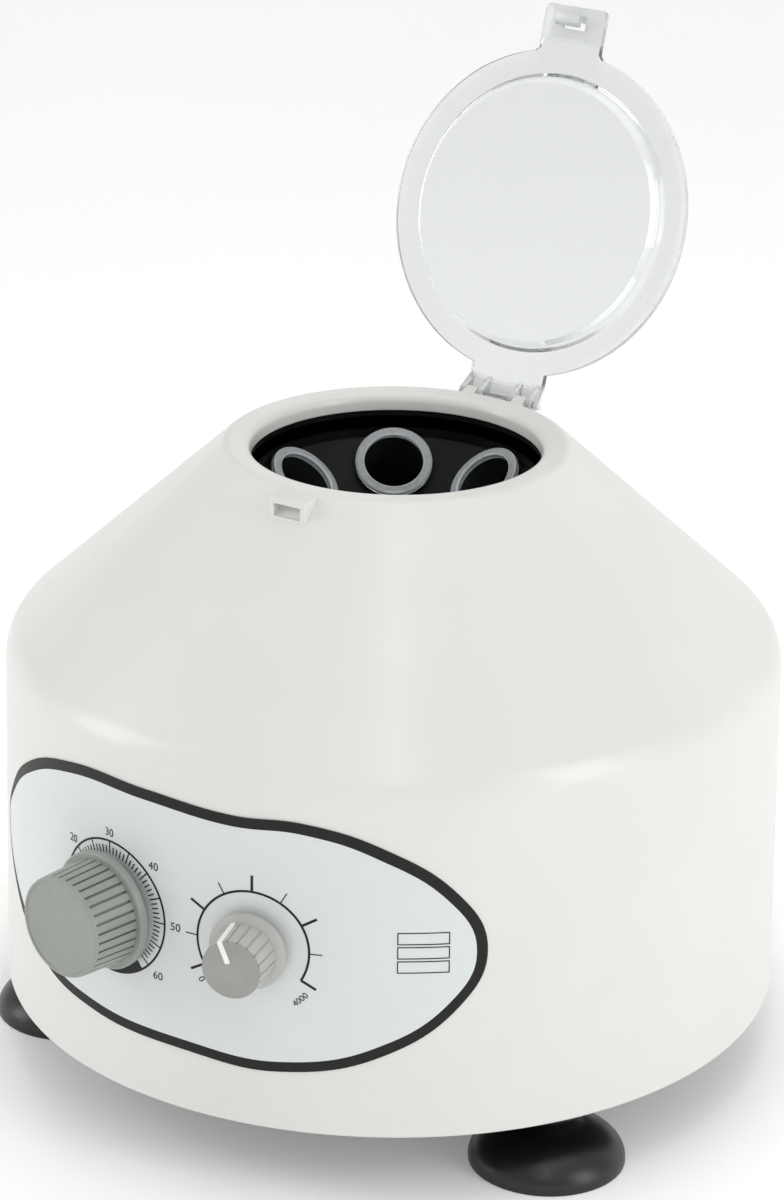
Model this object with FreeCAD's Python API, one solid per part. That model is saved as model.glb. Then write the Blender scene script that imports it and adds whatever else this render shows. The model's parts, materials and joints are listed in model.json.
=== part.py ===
"""Bench-top laboratory centrifuge: six angled tubes in a fixed-angle rotor.

Millimetres, +Z up.  The origin lies on the bench below the machine's axis, the control panel
faces -Y and the lid hinges at +Y.  The lid is modelled standing open, as it rests on its stop.
Pieces on the wall are built at the front, pointing along -Y, and then turned to their azimuth.
"""
import FreeCAD, Part
import os
from math import cos, radians, sin, sqrt, tan

V = FreeCAD.Vector
os.makedirs("parts", exist_ok=True)

# ---- general fits
RUNNING_FIT = 0.06          # radial, a shaft turning in its bore
PRESS_FIT = 0.02            # radial, a shaft held in its bore
SEAT_GAP = 0.3              # between curved or moving faces that lie against each other

# ---- tubes
TUBE_COUNT = 6
TUBE_TILT = 40.0            # degrees from vertical, mouths towards the axis
TUBE_RADIUS = 11.0
TUBE_WALL = 1.0
TUBE_LENGTH = 103.0
TUBE_FLANGE_RADIUS = 13.1
TUBE_FLANGE_THICK = 2.4
TUBE_MOUTH_CIRCLE = 34.0    # radius of the circle through the six mouths
ROTOR_PHASE = 3.4           # degrees, where the rotor came to rest

# ---- rotor
SLEEVE_WALL = 1.8
SLEEVE_LENGTH = 62.0
DISH_DROP = 1.6             # the dish lies this far below the seats of the tube flanges
DISH_THICK = 3.0
DISH_LIP = 2.6
DISH_LIP_GAP = 1.6          # between the tube flanges and the lip around the dish
HUB_RADIUS = 14.0
HUB_FLAT = 17.0
HUB_LENGTH = 26.0
WEB_THICK = 3.0
WEB_DROP = 22.0             # web's top below the hub's flat
BELL_LENGTH = 56.0
BELL_WALL = 2.0
BELL_INSET = 0.6            # bell's inner face outside the tubes' bores
WASHER = (9.0, 1.5)         # radius, thickness
NUT_HEIGHT = 6.5

# ---- heights from the bench up
FOOT_HEIGHT = 25.0
PLATE_RECESS = 1.0
PLATE_THICK = 2.0
ELECTRICS_HEIGHT = 79.0     # base plate to chamber floor
BOWL_WALL = 1.5
SWING_GAP_BELOW = 4.3
SWING_GAP_ROUND = 4.9
RIM_ABOVE_MOUTHS = 19.0

# ---- housing
HOUSING_WALL = 3.0
WALL_CAVITY = 18.2          # bowl to housing wall, at the bottom edge
WALL_DRAFT = 1.7            # radius lost from the bottom edge to the shoulder
CONE_RISE = 42.56           # degrees above horizontal
MOUTH_CLEARANCE = 4.2       # tube flanges to mouth
LIP_WIDTH = 8.8
LIP_DEPTH = 6.2
SHOULDER_ROUND = 14.0
CONTROL_DROP = 1.3          # timer body's top below the chamber floor
SHROUD_GAP = 1.0
COLLAR_LENGTH = 15.0        # shroud's collar round the top of the bowl
LIP_ROUNDS = (5.0, 3.4)     # outer, inner

# ---- lid and hinge
LID_GAP = 0.3
LID_OPEN_ANGLE = 109.0
LID_THICK = 2.8
LID_OVERHANG = 1.0          # the lid's flange ends this far inside the outer edge of the lip
LID_SINK = 3.2
LID_BEVEL = 3.6
HINGE_SETBACK = 7.6         # hinge axis behind the lip's outer edge
HINGE_DROP = 3.3            # hinge axis below the crest
KNUCKLE_RADIUS = 2.3
PIN_RADIUS = 1.0
PIN_LENGTH = 30.0
RIB_THICK = 2.0
RIB_OFFSETS = (6.2, 13.1)
HINGE_TAB_WIDTH = 28.5
TONGUE_WIDTH = 23.5
TONGUE_PAST_BOSS = 5.6
TONGUE_CORNER = 2.5
TONGUE_FLARE = 5.0
HOOK_WIDTH = 9.4
HOOK_THICK = 2.3
BARB_DEPTH = 1.8
BARB_HEIGHT = 2.2

# ---- latch boss on the rim
BOSS_WIDTH = 13.4
BOSS_DEPTH = 8.4            # from the lip's outer edge to the boss's front
BOSS_WALL = 1.7
BOSS_BAR = 2.0

# ---- control panel and knobs, azimuth in degrees from the front, height above the housing's edge
PANEL_THICK = 0.5
PANEL_GLUE = 0.05
PANEL_OUTLINE = ((-44.7, 66), (-41.7, 79), (-33.5, 95), (-20, 106.6), (-5, 108.6), (10, 107.2),
                 (20.5, 107.6), (31, 100.9), (41.3, 85.2), (45.6, 65.4), (41.6, 45.8), (31.2, 29.3), (17, 21.2),
                 (2, 21.9), (-14.5, 23.2), (-28, 29), (-40, 45))
TIMER_AZIMUTH = -10.8
SPEED_AZIMUTH = 12.7
KNOB_STANDOFF = 2.6
NUT_THICK = 1.6
SHAFT_RADIUS = 3.0
SHAFT_BITE = 10.0           # depth of the control shafts in their knobs
TIMER_KNOB = (16.8, 17.6, 19.8, 3.0, 19.9)      # face r, root r, flange r, flange thick, length
SPEED_KNOB = (10.2, 10.8, 12.8, 2.5, 15.4)
TIMER_BODY = (17.0, 26.0)                       # radius, depth
TIMER_BUSH = 4.5
SPEED_BODY = (12.0, 12.0)
SPEED_BUSH = 3.5
POINTER_ANGLE = -22.0       # degrees from straight up, clockwise seen from the front
POINTER_WIDTH = 1.6
POINTER_PROUD = 0.4

# ---- rear panel, heights above the housing's edge
TRAY_DEPTH = 4.2
TRAY_WIDTH = 40.0
TRAY_HEIGHTS = (21.0, 82.0)
INLET_HEIGHTS = (25.0, 58.0)
INLET_WIDTH = 30.0
INLET_DEPTH = 28.0
SOCKET_WIDTH = 24.0
SOCKET_HEIGHTS = (29.0, 46.0)
SOCKET_DEPTH = 16.0
SOCKET_CORNER = 4.5
PIN_SIZE = (2.0, 4.0, 14.0)
PIN_PITCH = 14.0
DRAWER_WIDTH = 17.4
DRAWER_HEIGHTS = (50.0, 55.4)
DRAWER_DEPTH = 22.5
DRAWER_LIP = 1.0
FUSE_RADIUS = 2.5
FUSE_LENGTH = 20.0
SWITCH_HEIGHTS = (59.5, 77.5)
SWITCH_WIDTH = 22.0
SWITCH_DEPTH = 16.0
ROCKER_WIDTH = 15.0
ROCKER_HALF = 5.6
ROCKER_TILT = 9.0
FLANGE_THICK = 2.0

# ---- feet and base plate
FOOT_RADIUS = 26.0
FOOT_NECK = 8.25
FOOT_INSET = 20.7           # foot centre inside the bottom edge
FOOT_POLAR = {"front_right": -30.0, "front_left": -150.0, "rear": 90.0}
FOOT_STUD = 3.0
FOOT_HOLLOW = 3.0
FOOT_SEAL = 6.0             # width of the flat sealing ring
FOOT_EDGE = 1.5             # thickness of the skirt at its edge
FOOT_DOME = 18.5
FOOT_COLLAR = (6.5, 5.5)    # past the neck, height
BASE_SCREW_POLAR = (45.0, 135.0, 225.0, 315.0)
BASE_BOSS_RADIUS = 6.0
BASE_BOSS_HEIGHT = 20.0
SCREW_RADIUS = 1.6
SCREW_HEAD = (3.4, 1.8)     # radius, height
VENT_WIDTH = 3.0
VENT_LENGTH = 26.0
VENT_COUNT = 7

# ---- motor
MOTOR_RADIUS = 42.0
MOTOR_WALL = 2.0
MOTOR_SPINDLE = 4.0
DAMPER_HEIGHT = 10.0
DAMPER_RADIUS = 8.0
BRACKET_THICK = 3.0
BRACKET_EDGE = 20.0         # bracket reaches this far past the motor
TOWER_GAP = 3.0
TOWER_ROOM = 5.0            # between the motor's top and the tower over it
BELL_THICK = 6.0
BEARING = (11.0, 7.0)       # outer radius, width
AIR_GAP = 0.7
ARMATURE_RADIUS = 24.0
YOKE_THICK = 5.0
POLE_HALF = 11.0
COIL_WIDTH = 4.0
COIL_THICK = 7.0            # how far the windings stand out of the laminations
END_GAP = 1.0               # between the windings and what turns or stands next to them
COMMUTATOR = (12.0, 12.0)   # radius, length
BRUSH = (8.0, 6.0, 16.0)    # width, height, length
HOLDER_WALL = 1.2
FAN = (33.0, 7.0)
FAN_BLADES = 12

# ---- posts and circuit board
POST_POLAR = (50.0, 130.0, 235.0, 305.0)
POST_INSET = 10.5           # post centre inside the bowl's wall
POST_RADIUS = 4.0
BOARD = (36.0, 56.0, 1.6)
BOARD_GAP = 6.0             # from the motor's bracket to the board
BOARD_START = -8.0
BOARD_LIFT = 8.0
STANDOFF_RADIUS = 2.5
STANDOFF_INSET = 4.0

# ---- worked-out positions
TILT_SIN = sin(radians(TUBE_TILT))
TILT_COS = cos(radians(TUBE_TILT))
EDGE_Z = FOOT_HEIGHT
PLATE_Z = EDGE_Z + PLATE_RECESS
DECK_Z = PLATE_Z + PLATE_THICK
BOWL_Z = DECK_Z + ELECTRICS_HEIGHT
FLOOR_Z = BOWL_Z + BOWL_WALL
TIP_REACH = TUBE_LENGTH - TUBE_RADIUS
MOUTH_Z = FLOOR_Z + SWING_GAP_BELOW + TIP_REACH * TILT_COS + TUBE_RADIUS
CREST_Z = MOUTH_Z + RIM_ABOVE_MOUTHS
SWING_RADIUS = TUBE_MOUTH_CIRCLE + TIP_REACH * TILT_SIN + TUBE_RADIUS
BOWL_RADIUS = SWING_RADIUS + SWING_GAP_ROUND + BOWL_WALL
EDGE_RADIUS = BOWL_RADIUS + WALL_CAVITY + HOUSING_WALL
SHOULDER_RADIUS = EDGE_RADIUS - WALL_DRAFT
MOUTH_RADIUS = TUBE_MOUTH_CIRCLE + TUBE_FLANGE_RADIUS * TILT_COS + MOUTH_CLEARANCE
LIP_RADIUS = MOUTH_RADIUS + LIP_WIDTH
CONE_SLOPE = tan(radians(CONE_RISE))
SHOULDER_Z = CREST_Z - (SHOULDER_RADIUS - LIP_RADIUS) * CONE_SLOPE
WALL_LEAN = WALL_DRAFT / (SHOULDER_Z - EDGE_Z)
LID_Z = CREST_Z + LID_GAP
HINGE_Y = LIP_RADIUS + HINGE_SETBACK
HINGE_Z = CREST_Z - HINGE_DROP
MOTOR_Z = DECK_Z + DAMPER_HEIGHT + BRACKET_THICK
TOWER_Z = FLOOR_Z + 20.5
MOTOR_TOP = TOWER_Z - TOWER_ROOM
CAN_TOP = MOTOR_TOP - BELL_THICK
BOSS_FRONT = LIP_RADIUS + BOSS_DEPTH
TONGUE_REACH = BOSS_FRONT + TONGUE_PAST_BOSS
CONTROL_HEIGHT = BOWL_Z - CONTROL_DROP - TIMER_BODY[0] - EDGE_Z
POST_CIRCLE = BOWL_RADIUS - POST_INSET
BOARD_CORNER = (MOTOR_RADIUS + BRACKET_EDGE + BOARD_GAP, BOARD_START)


# ---- shape helpers
def cylinder(radius, low, high, x=0.0, y=0.0):
    return Part.makeCylinder(radius, high - low, V(x, y, low))


def ring(outer, inner, low, high, x=0.0, y=0.0):
    return cylinder(outer, low, high, x, y).cut(cylinder(inner, low, high, x, y))


def block(x0, x1, y0, y1, z0, z1):
    return Part.makeBox(x1 - x0, y1 - y0, z1 - z0, V(x0, y0, z0))


def lathe(points):
    """Turn an outline of (radius, height) points about the Z axis."""
    wire = Part.makePolygon([V(r, 0, z) for r, z in points + points[:1]])
    return Part.Face(wire).revolve(V(0, 0, 0), V(0, 0, 1), 360)


def slab(points, width, x=0.0):
    """Extrude an outline of (y, z) points along X, centred on x."""
    wire = Part.makePolygon([V(x - width / 2, y, z) for y, z in points + points[:1]])
    return Part.Face(wire).extrude(V(width, 0, 0))


def rod(radius, start, end):
    """A round bar between two points."""
    return Part.makeCylinder(radius, (end - start).Length, start, end - start)


def rod_y(radius, y0, y1, x=0.0, z=0.0):
    return rod(radius, V(x, y0, z), V(x, y1, z))


def rod_x(radius, length, y, z, x=0.0):
    return rod(radius, V(x - length / 2, y, z), V(x + length / 2, y, z))


def union(shapes):
    first, *rest = shapes
    return first.fuse(rest).removeSplitter() if rest else first


def group(shapes):
    return Part.makeCompound(shapes)


def turned(shape, degrees, centre=V(0, 0, 0), axis=V(0, 0, 1)):
    copy = shape.copy()
    copy.rotate(centre, axis, degrees)
    return copy


def around(shape, angles):
    return [turned(shape, angle) for angle in angles]


def polar(radius, degrees):
    return radius * cos(radians(degrees)), radius * sin(radians(degrees))


def circle_edges(shape, radius, z):
    """The shape's full circular edges of one radius at one height."""
    return [edge for edge in shape.Edges
            if isinstance(edge.Curve, Part.Circle)
            and abs(edge.Curve.Radius - radius) < 0.01 and abs(edge.Curve.Center.z - z) < 0.01]


# ---- the housing's two surfaces
def wall_radius(z, inward=0.0):
    return EDGE_RADIUS - (z - EDGE_Z) * WALL_LEAN - inward


def cone_z(radius, inward=0.0):
    """Height of the cone at a radius, or of the face a distance inside it."""
    return CREST_Z - (radius - LIP_RADIUS) * CONE_SLOPE - inward / cos(radians(CONE_RISE))


def cone_radius(z, inward=0.0):
    return LIP_RADIUS + (CREST_Z - inward / cos(radians(CONE_RISE)) - z) / CONE_SLOPE


def housing_shell():
    """Drafted wall, shoulder, cone and rolled mouth, as one shell of even thickness."""
    bend = HOUSING_WALL
    corner_z = SHOULDER_Z
    for _ in range(20):
        corner_z = cone_z(wall_radius(corner_z, bend), bend)
    skirt = MOUTH_RADIUS + HOUSING_WALL
    under_z = CREST_Z - HOUSING_WALL
    shell = lathe([(EDGE_RADIUS, EDGE_Z), (SHOULDER_RADIUS, SHOULDER_Z), (LIP_RADIUS, CREST_Z),
                   (MOUTH_RADIUS, CREST_Z), (MOUTH_RADIUS, CREST_Z - LIP_DEPTH),
                   (skirt, CREST_Z - LIP_DEPTH), (skirt, under_z), (cone_radius(under_z, bend), under_z),
                   (wall_radius(corner_z, bend), corner_z), (EDGE_RADIUS - bend, EDGE_Z)])
    rounds = ((SHOULDER_ROUND, SHOULDER_RADIUS, SHOULDER_Z),
              (SHOULDER_ROUND - bend, wall_radius(corner_z, bend), corner_z),
              (LIP_ROUNDS[0], LIP_RADIUS, CREST_Z), (LIP_ROUNDS[1], MOUTH_RADIUS, CREST_Z))
    for size, radius, z in rounds:
        shell = shell.makeFillet(size, circle_edges(shell, radius, z))
    return shell


def latch_boss():
    """Hollow box on the front of the rim; the lid's hook catches under its top bar."""
    root = LIP_RADIUS - 1.0
    depth = HOUSING_WALL / 2
    outside = slab([(-BOSS_FRONT, cone_z(BOSS_FRONT, depth)), (-BOSS_FRONT, CREST_Z),
                    (-root, CREST_Z), (-root, cone_z(root, depth))], BOSS_WIDTH)
    bar_z = CREST_Z - BOSS_BAR
    inside = slab([(-BOSS_FRONT - 1, cone_z(BOSS_FRONT, HOUSING_WALL)), (-BOSS_FRONT - 1, bar_z),
                   (-cone_radius(bar_z), bar_z), (-root, cone_z(root, HOUSING_WALL))],
                  BOSS_WIDTH - 2 * BOSS_WALL)
    return outside.cut(inside)


def lug_width():
    return RIB_OFFSETS[1] - RIB_OFFSETS[0] - RIB_THICK - 2 * SEAT_GAP


def hinge_lug(x):
    """One of the two lugs behind the rim that hold the hinge pin."""
    near = HINGE_Y - 4.6
    far = HINGE_Y + 2.6
    depth = HOUSING_WALL / 2
    web = slab([(near, cone_z(near, depth)), (near, cone_z(near) + 0.3),
                (HINGE_Y - 0.9, HINGE_Z + 2.1), (HINGE_Y + KNUCKLE_RADIUS, HINGE_Z),
                (far, cone_z(far, depth))], lug_width(), x)
    knuckle = rod_x(KNUCKLE_RADIUS, lug_width(), HINGE_Y, HINGE_Z, x)
    bore = rod_x(PIN_RADIUS + PRESS_FIT, lug_width() + 2, HINGE_Y, HINGE_Z, x)
    return web.fuse(knuckle).cut(bore)


def lug_places():
    middle = sum(RIB_OFFSETS) / 2
    return (-middle, middle)


def tray_y():
    """Local y of the flat face that the rear fittings sit on."""
    return -(EDGE_RADIUS - TRAY_DEPTH)


def rear_block(width, heights, y_out, y_in):
    """A block of the rear panel, built at the front; heights are above the housing's edge."""
    return block(-width / 2, width / 2, y_out, y_in, EDGE_Z + heights[0], EDGE_Z + heights[1])


def to_rear(shape):
    return turned(shape, 180)


def control_bore(radius, azimuth):
    bore = rod_y(radius, -EDGE_RADIUS - 10, -EDGE_RADIUS + 15, z=EDGE_Z + CONTROL_HEIGHT)
    return turned(bore, azimuth)


def housing():
    body = housing_shell()
    boss = ring(BASE_BOSS_RADIUS, SCREW_RADIUS, DECK_Z, DECK_Z + BASE_BOSS_HEIGHT,
                base_screw_circle())
    wall = lathe([(EDGE_RADIUS - 1, EDGE_Z - 1), (EDGE_RADIUS + 30, EDGE_Z - 1),
                  (EDGE_RADIUS + 30, CREST_Z), (wall_radius(CREST_Z, 1), CREST_Z)])
    bosses = [turned(boss.cut(wall), angle) for angle in BASE_SCREW_POLAR]
    tray_back = rear_block(TRAY_WIDTH + 2 * HOUSING_WALL, TRAY_HEIGHTS,
                           tray_y() - HOUSING_WALL / 2, tray_y() + HOUSING_WALL)
    tray_back = to_rear(tray_back.cut(wall))
    body = union([body, latch_boss(), tray_back] + bosses + [hinge_lug(x) for x in lug_places()])
    tray = rear_block(TRAY_WIDTH, (TRAY_HEIGHTS[0] + HOUSING_WALL, TRAY_HEIGHTS[1] - HOUSING_WALL),
                      -EDGE_RADIUS - 5, tray_y())
    inlet_hole = rear_block(INLET_WIDTH - 4, (INLET_HEIGHTS[0] + 2, INLET_HEIGHTS[1] - 1.5),
                            tray_y() - 1, tray_y() + 10)
    switch_hole = rear_block(SWITCH_WIDTH - 3, (SWITCH_HEIGHTS[0] + 1.5, SWITCH_HEIGHTS[1] - 1.5),
                             tray_y() - 1, tray_y() + 10)
    holes = [to_rear(tray), to_rear(inlet_hole), to_rear(switch_hole),
             control_bore(TIMER_BUSH + SEAT_GAP, TIMER_AZIMUTH),
             control_bore(SPEED_BUSH + SEAT_GAP, SPEED_AZIMUTH)]
    return body.cut(holes).removeSplitter()


def control_panel():
    """Curved label on the wall, with a hole for each control's bush."""
    low = EDGE_Z + min(z for _, z in PANEL_OUTLINE) - 5
    high = EDGE_Z + max(z for _, z in PANEL_OUTLINE) + 5
    face = PANEL_GLUE + PANEL_THICK
    skin = lathe([(wall_radius(low, -PANEL_GLUE), low), (wall_radius(low, -face), low),
                  (wall_radius(high, -face), high), (wall_radius(high, -PANEL_GLUE), high)])
    outline = Part.BSplineCurve()
    points = []
    for azimuth, height in PANEL_OUTLINE:
        z = EDGE_Z + height
        points.append(V(wall_radius(z) * sin(radians(azimuth)), -EDGE_RADIUS - 20, z))
    outline.interpolate(Points=points, PeriodicFlag=True)
    stamp = Part.Face(Part.Wire(outline.toShape())).extrude(V(0, EDGE_RADIUS, 0))
    holes = [control_bore(TIMER_BUSH + SEAT_GAP, TIMER_AZIMUTH),
             control_bore(SPEED_BUSH + SEAT_GAP, SPEED_AZIMUTH)]
    return skin.common(stamp).cut(holes)


# ---- base plate, feet and their fasteners
def base_screw_circle():
    return EDGE_RADIUS - HOUSING_WALL - BASE_BOSS_RADIUS + 0.5


def foot_circle():
    return EDGE_RADIUS - FOOT_INSET


def damper_circle():
    return MOTOR_RADIUS + 10.0


def damper_angles():
    return (30.0, 150.0, 270.0)


def plate_places(radius, angles):
    return [polar(radius, angle) for angle in angles]


def base_plate():
    plate = cylinder(EDGE_RADIUS - HOUSING_WALL - SEAT_GAP, PLATE_Z, DECK_Z)
    small = (plate_places(base_screw_circle(), BASE_SCREW_POLAR) + plate_places(POST_CIRCLE, POST_POLAR)
             + plate_places(damper_circle(), damper_angles()) + standoff_places())
    holes = [cylinder(SCREW_RADIUS + 0.2, PLATE_Z - 1, DECK_Z + 1, x, y) for x, y in small]
    holes += [cylinder(FOOT_STUD + 0.2, PLATE_Z - 1, DECK_Z + 1, x, y)
              for x, y in plate_places(foot_circle(), FOOT_POLAR.values())]
    for row in range(VENT_COUNT):
        x = (row - (VENT_COUNT - 1) / 2) * 2.6 * VENT_WIDTH
        holes.append(block(x - VENT_WIDTH / 2, x + VENT_WIDTH / 2, -VENT_LENGTH / 2, VENT_LENGTH / 2,
                           PLATE_Z - 1, DECK_Z + 1))
    return plate.cut(holes)


def dome_points():
    """Outline of the skirt's crown, from its edge in to the neck, as part of an ellipse."""
    points = []
    for step in range(1, 12):
        angle = radians(step * 7.5)
        radius = FOOT_RADIUS * cos(angle)
        if radius > FOOT_NECK:
            points.append((radius, FOOT_EDGE + FOOT_DOME * sin(angle)))
    return points


def foot(polar_angle):
    """Rubber suction cup: domed skirt, neck and collar, with a shallow hollow underneath."""
    x, y = polar(foot_circle(), polar_angle)
    dome_z = FOOT_EDGE + FOOT_DOME
    collar = FOOT_NECK + FOOT_COLLAR[0]
    cup = lathe([(0, FOOT_HOLLOW), (FOOT_RADIUS - FOOT_SEAL, 0), (FOOT_RADIUS, 0), (FOOT_RADIUS, FOOT_EDGE)]
                + dome_points() + [(FOOT_NECK, dome_z), (FOOT_NECK, PLATE_Z - FOOT_COLLAR[1]),
                                   (collar, PLATE_Z - FOOT_COLLAR[1]), (collar, PLATE_Z), (0, PLATE_Z)])
    cup = cup.cut(cylinder(FOOT_STUD + PRESS_FIT, PLATE_Z - 10, PLATE_Z + 1))
    cup.translate(V(x, y, 0))
    return cup


def screw(x, y, top, length, head=SCREW_HEAD):
    """Pan-head screw pointing down from its seat at height top."""
    return union([cylinder(head[0], top, top + head[1], x, y),
                  cylinder(SCREW_RADIUS - 0.1, top - length, top, x, y)])


def screw_up(x, y, bottom, length):
    """Pan-head screw pointing up from its seat at height bottom."""
    return union([cylinder(SCREW_HEAD[0], bottom - SCREW_HEAD[1], bottom, x, y),
                  cylinder(SCREW_RADIUS - 0.1, bottom, bottom + length, x, y)])


def foot_studs():
    """A threaded stud with a nut above the plate for each foot."""
    studs = []
    for x, y in plate_places(foot_circle(), FOOT_POLAR.values()):
        nut = hexagon(5.0, DECK_Z, DECK_Z + 4.0, x, y)
        studs.append(union([cylinder(FOOT_STUD, PLATE_Z - 9, DECK_Z + 6, x, y), nut]))
    return group(studs)


def hexagon(flat, low, high, x=0.0, y=0.0):
    """Hexagonal prism; flat is the distance from its centre to a side."""
    reach = flat / cos(radians(30))
    corners = [V(x + reach * cos(radians(60 * i)), y + reach * sin(radians(60 * i)), low) for i in range(7)]
    return Part.Face(Part.makePolygon(corners)).extrude(V(0, 0, high - low))


# ---- chamber
def chamber_bowl():
    """Floor and wall around the rotor, with a raised tower over the motor."""
    tower = MOTOR_RADIUS + TOWER_GAP
    seam_z = collar_z()
    bowl = lathe([(MOTOR_SPINDLE + 5, TOWER_Z), (MOTOR_SPINDLE + 5, TOWER_Z - BOWL_WALL),
                  (tower, TOWER_Z - BOWL_WALL), (tower, BOWL_Z), (BOWL_RADIUS, BOWL_Z),
                  (BOWL_RADIUS, seam_z), (BOWL_RADIUS - BOWL_WALL, seam_z),
                  (BOWL_RADIUS - BOWL_WALL, FLOOR_Z), (tower + BOWL_WALL, FLOOR_Z),
                  (tower + BOWL_WALL, TOWER_Z)])
    holes = [cylinder(SCREW_RADIUS + 0.2, BOWL_Z - 1, FLOOR_Z + 1, x, y)
             for x, y in plate_places(POST_CIRCLE, POST_POLAR)]
    return bowl.cut(holes)


def collar_z():
    """Top of the bowl's wall, just inside the shroud's cone."""
    return cone_z(BOWL_RADIUS, HOUSING_WALL + SHROUD_GAP + BOWL_WALL) - SEAT_GAP


def chamber_shroud():
    """Dark lining under the cone, from the bowl's wall up to the mouth."""
    outer = HOUSING_WALL + SHROUD_GAP
    inner = outer + BOWL_WALL
    top_z = CREST_Z - LIP_DEPTH - SEAT_GAP
    under_z = top_z - BOWL_WALL
    collar_in = BOWL_RADIUS + SEAT_GAP
    collar_out = collar_in + BOWL_WALL
    foot_z = collar_z() - COLLAR_LENGTH
    return lathe([(collar_out, foot_z), (collar_out, cone_z(collar_out, outer)),
                  (cone_radius(top_z, outer), top_z), (MOUTH_RADIUS + SEAT_GAP, top_z),
                  (MOUTH_RADIUS + SEAT_GAP, under_z), (cone_radius(under_z, inner), under_z),
                  (collar_in, cone_z(collar_in, inner)), (collar_in, foot_z)])


def bowl_posts():
    posts = []
    for x, y in plate_places(POST_CIRCLE, POST_POLAR):
        top_hole = cylinder(SCREW_RADIUS, BOWL_Z - 12, BOWL_Z, x, y)
        low_hole = cylinder(SCREW_RADIUS, DECK_Z, DECK_Z + 12, x, y)
        posts.append(cylinder(POST_RADIUS, DECK_Z, BOWL_Z, x, y).cut([top_hole, low_hole]))
    return group(posts)


# ---- tubes and rotor
def tube_frame(shape, index):
    """Place a shape built along +Z with its mouth at the origin into tube position index."""
    placed = shape.copy()
    placed.rotate(V(0, 0, 0), V(0, 1, 0), -TUBE_TILT)
    placed.translate(V(TUBE_MOUTH_CIRCLE, 0, MOUTH_Z))
    return turned(placed, ROTOR_PHASE + index * 360 / TUBE_COUNT)


def capsule(radius, length, top):
    """Round-ended bar hanging down from height top."""
    return cylinder(radius, radius - length, top).fuse(Part.makeSphere(radius, V(0, 0, radius - length)))


def tube(index):
    """Round-bottomed tube with a flanged mouth."""
    inner = TUBE_RADIUS - TUBE_WALL
    outside = capsule(TUBE_RADIUS, TUBE_LENGTH, 0).fuse(cylinder(TUBE_FLANGE_RADIUS, -TUBE_FLANGE_THICK, 0))
    inside = capsule(inner, TUBE_LENGTH - TUBE_WALL, 1)
    return tube_frame(outside.cut(inside), index)


def dish_z(radius, below=0.0):
    """Height of the dish at a radius; the dish is square to the tubes."""
    drop = TUBE_FLANGE_THICK + DISH_DROP
    seat_radius = TUBE_MOUTH_CIRCLE + drop * TILT_SIN
    return MOUTH_Z - drop * TILT_COS + (radius - seat_radius) * TILT_SIN / TILT_COS - below / TILT_COS


def hub_z():
    return dish_z(HUB_FLAT)


def rotor_body():
    """Dish, hub, web, bell and six sleeves in one moulding."""
    lip = MOUTH_RADIUS - MOUTH_CLEARANCE + DISH_LIP_GAP
    rim = lip + 2.0
    dish = lathe([(0, hub_z()), (HUB_FLAT, hub_z()), (lip, dish_z(lip)), (lip, dish_z(lip) + DISH_LIP),
                  (rim, dish_z(lip) + DISH_LIP), (rim, dish_z(rim, DISH_THICK)),
                  (HUB_FLAT, dish_z(HUB_FLAT, DISH_THICK)), (0, dish_z(HUB_FLAT, DISH_THICK))])
    hub = cylinder(HUB_RADIUS, hub_z() - HUB_LENGTH, hub_z())
    web_z = hub_z() - WEB_DROP
    web_reach = TUBE_MOUTH_CIRCLE + (MOUTH_Z - web_z) * TILT_SIN / TILT_COS - TUBE_RADIUS
    web = cylinder(web_reach, web_z - WEB_THICK, web_z)
    sleeve_radius = TUBE_RADIUS + SEAT_GAP + SLEEVE_WALL
    seat = -TUBE_FLANGE_THICK - SEAT_GAP
    sleeve = cylinder(sleeve_radius, seat - SLEEVE_LENGTH, seat)
    bore = cylinder(TUBE_RADIUS + SEAT_GAP, seat - SLEEVE_LENGTH - 1, 5)
    pocket = cylinder(TUBE_FLANGE_RADIUS + SEAT_GAP, seat, 5)
    places = range(TUBE_COUNT)
    solid = union([dish, hub, web, rotor_bell()] + [tube_frame(sleeve, i) for i in places])
    cuts = [tube_frame(bore, i) for i in places] + [tube_frame(pocket, i) for i in places]
    return solid.cut(cuts + [cylinder(MOTOR_SPINDLE + PRESS_FIT, 0, CREST_Z)])


def rotor_bell():
    """Conical skirt along the outside of the sleeves."""
    near = TUBE_RADIUS + SEAT_GAP + BELL_INSET
    far = near + BELL_WALL
    top = TUBE_FLANGE_THICK + DISH_DROP + 0.5
    corners = []
    for out, down in ((near, top), (far, top), (far, top + BELL_LENGTH), (near, top + BELL_LENGTH)):
        corners.append((TUBE_MOUTH_CIRCLE + out * TILT_COS + down * TILT_SIN,
                        MOUTH_Z + out * TILT_SIN - down * TILT_COS))
    return lathe(corners)


def rotor_washer():
    return ring(WASHER[0], MOTOR_SPINDLE + PRESS_FIT, hub_z(), hub_z() + WASHER[1])


def rotor_nut():
    low = hub_z() + WASHER[1]
    body = hexagon(6.5, low, low + NUT_HEIGHT)
    return body.cut(cylinder(MOTOR_SPINDLE + PRESS_FIT, low, low + NUT_HEIGHT))


def motor_shaft():
    return cylinder(MOTOR_SPINDLE, MOTOR_Z + 1, hub_z() + WASHER[1] + NUT_HEIGHT + 1.5)


# ---- motor
def bearing_rest(low):
    """Bearing shown as one ring; the spindle turns in it with a running fit."""
    return ring(BEARING[0], MOTOR_SPINDLE + RUNNING_FIT, low, low + BEARING[1])


def bearing_low_z():
    return MOTOR_Z + 2.0


def bearing_high_z():
    return MOTOR_TOP - BEARING[1] - 1.0


def fan_z():
    return bearing_low_z() + BEARING[1] + 3.0


def stack_z():
    return fan_z() + FAN[1] + COIL_THICK + END_GAP


def brush_z():
    return bearing_high_z() - 1 - END_GAP - COMMUTATOR[1] / 2


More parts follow.
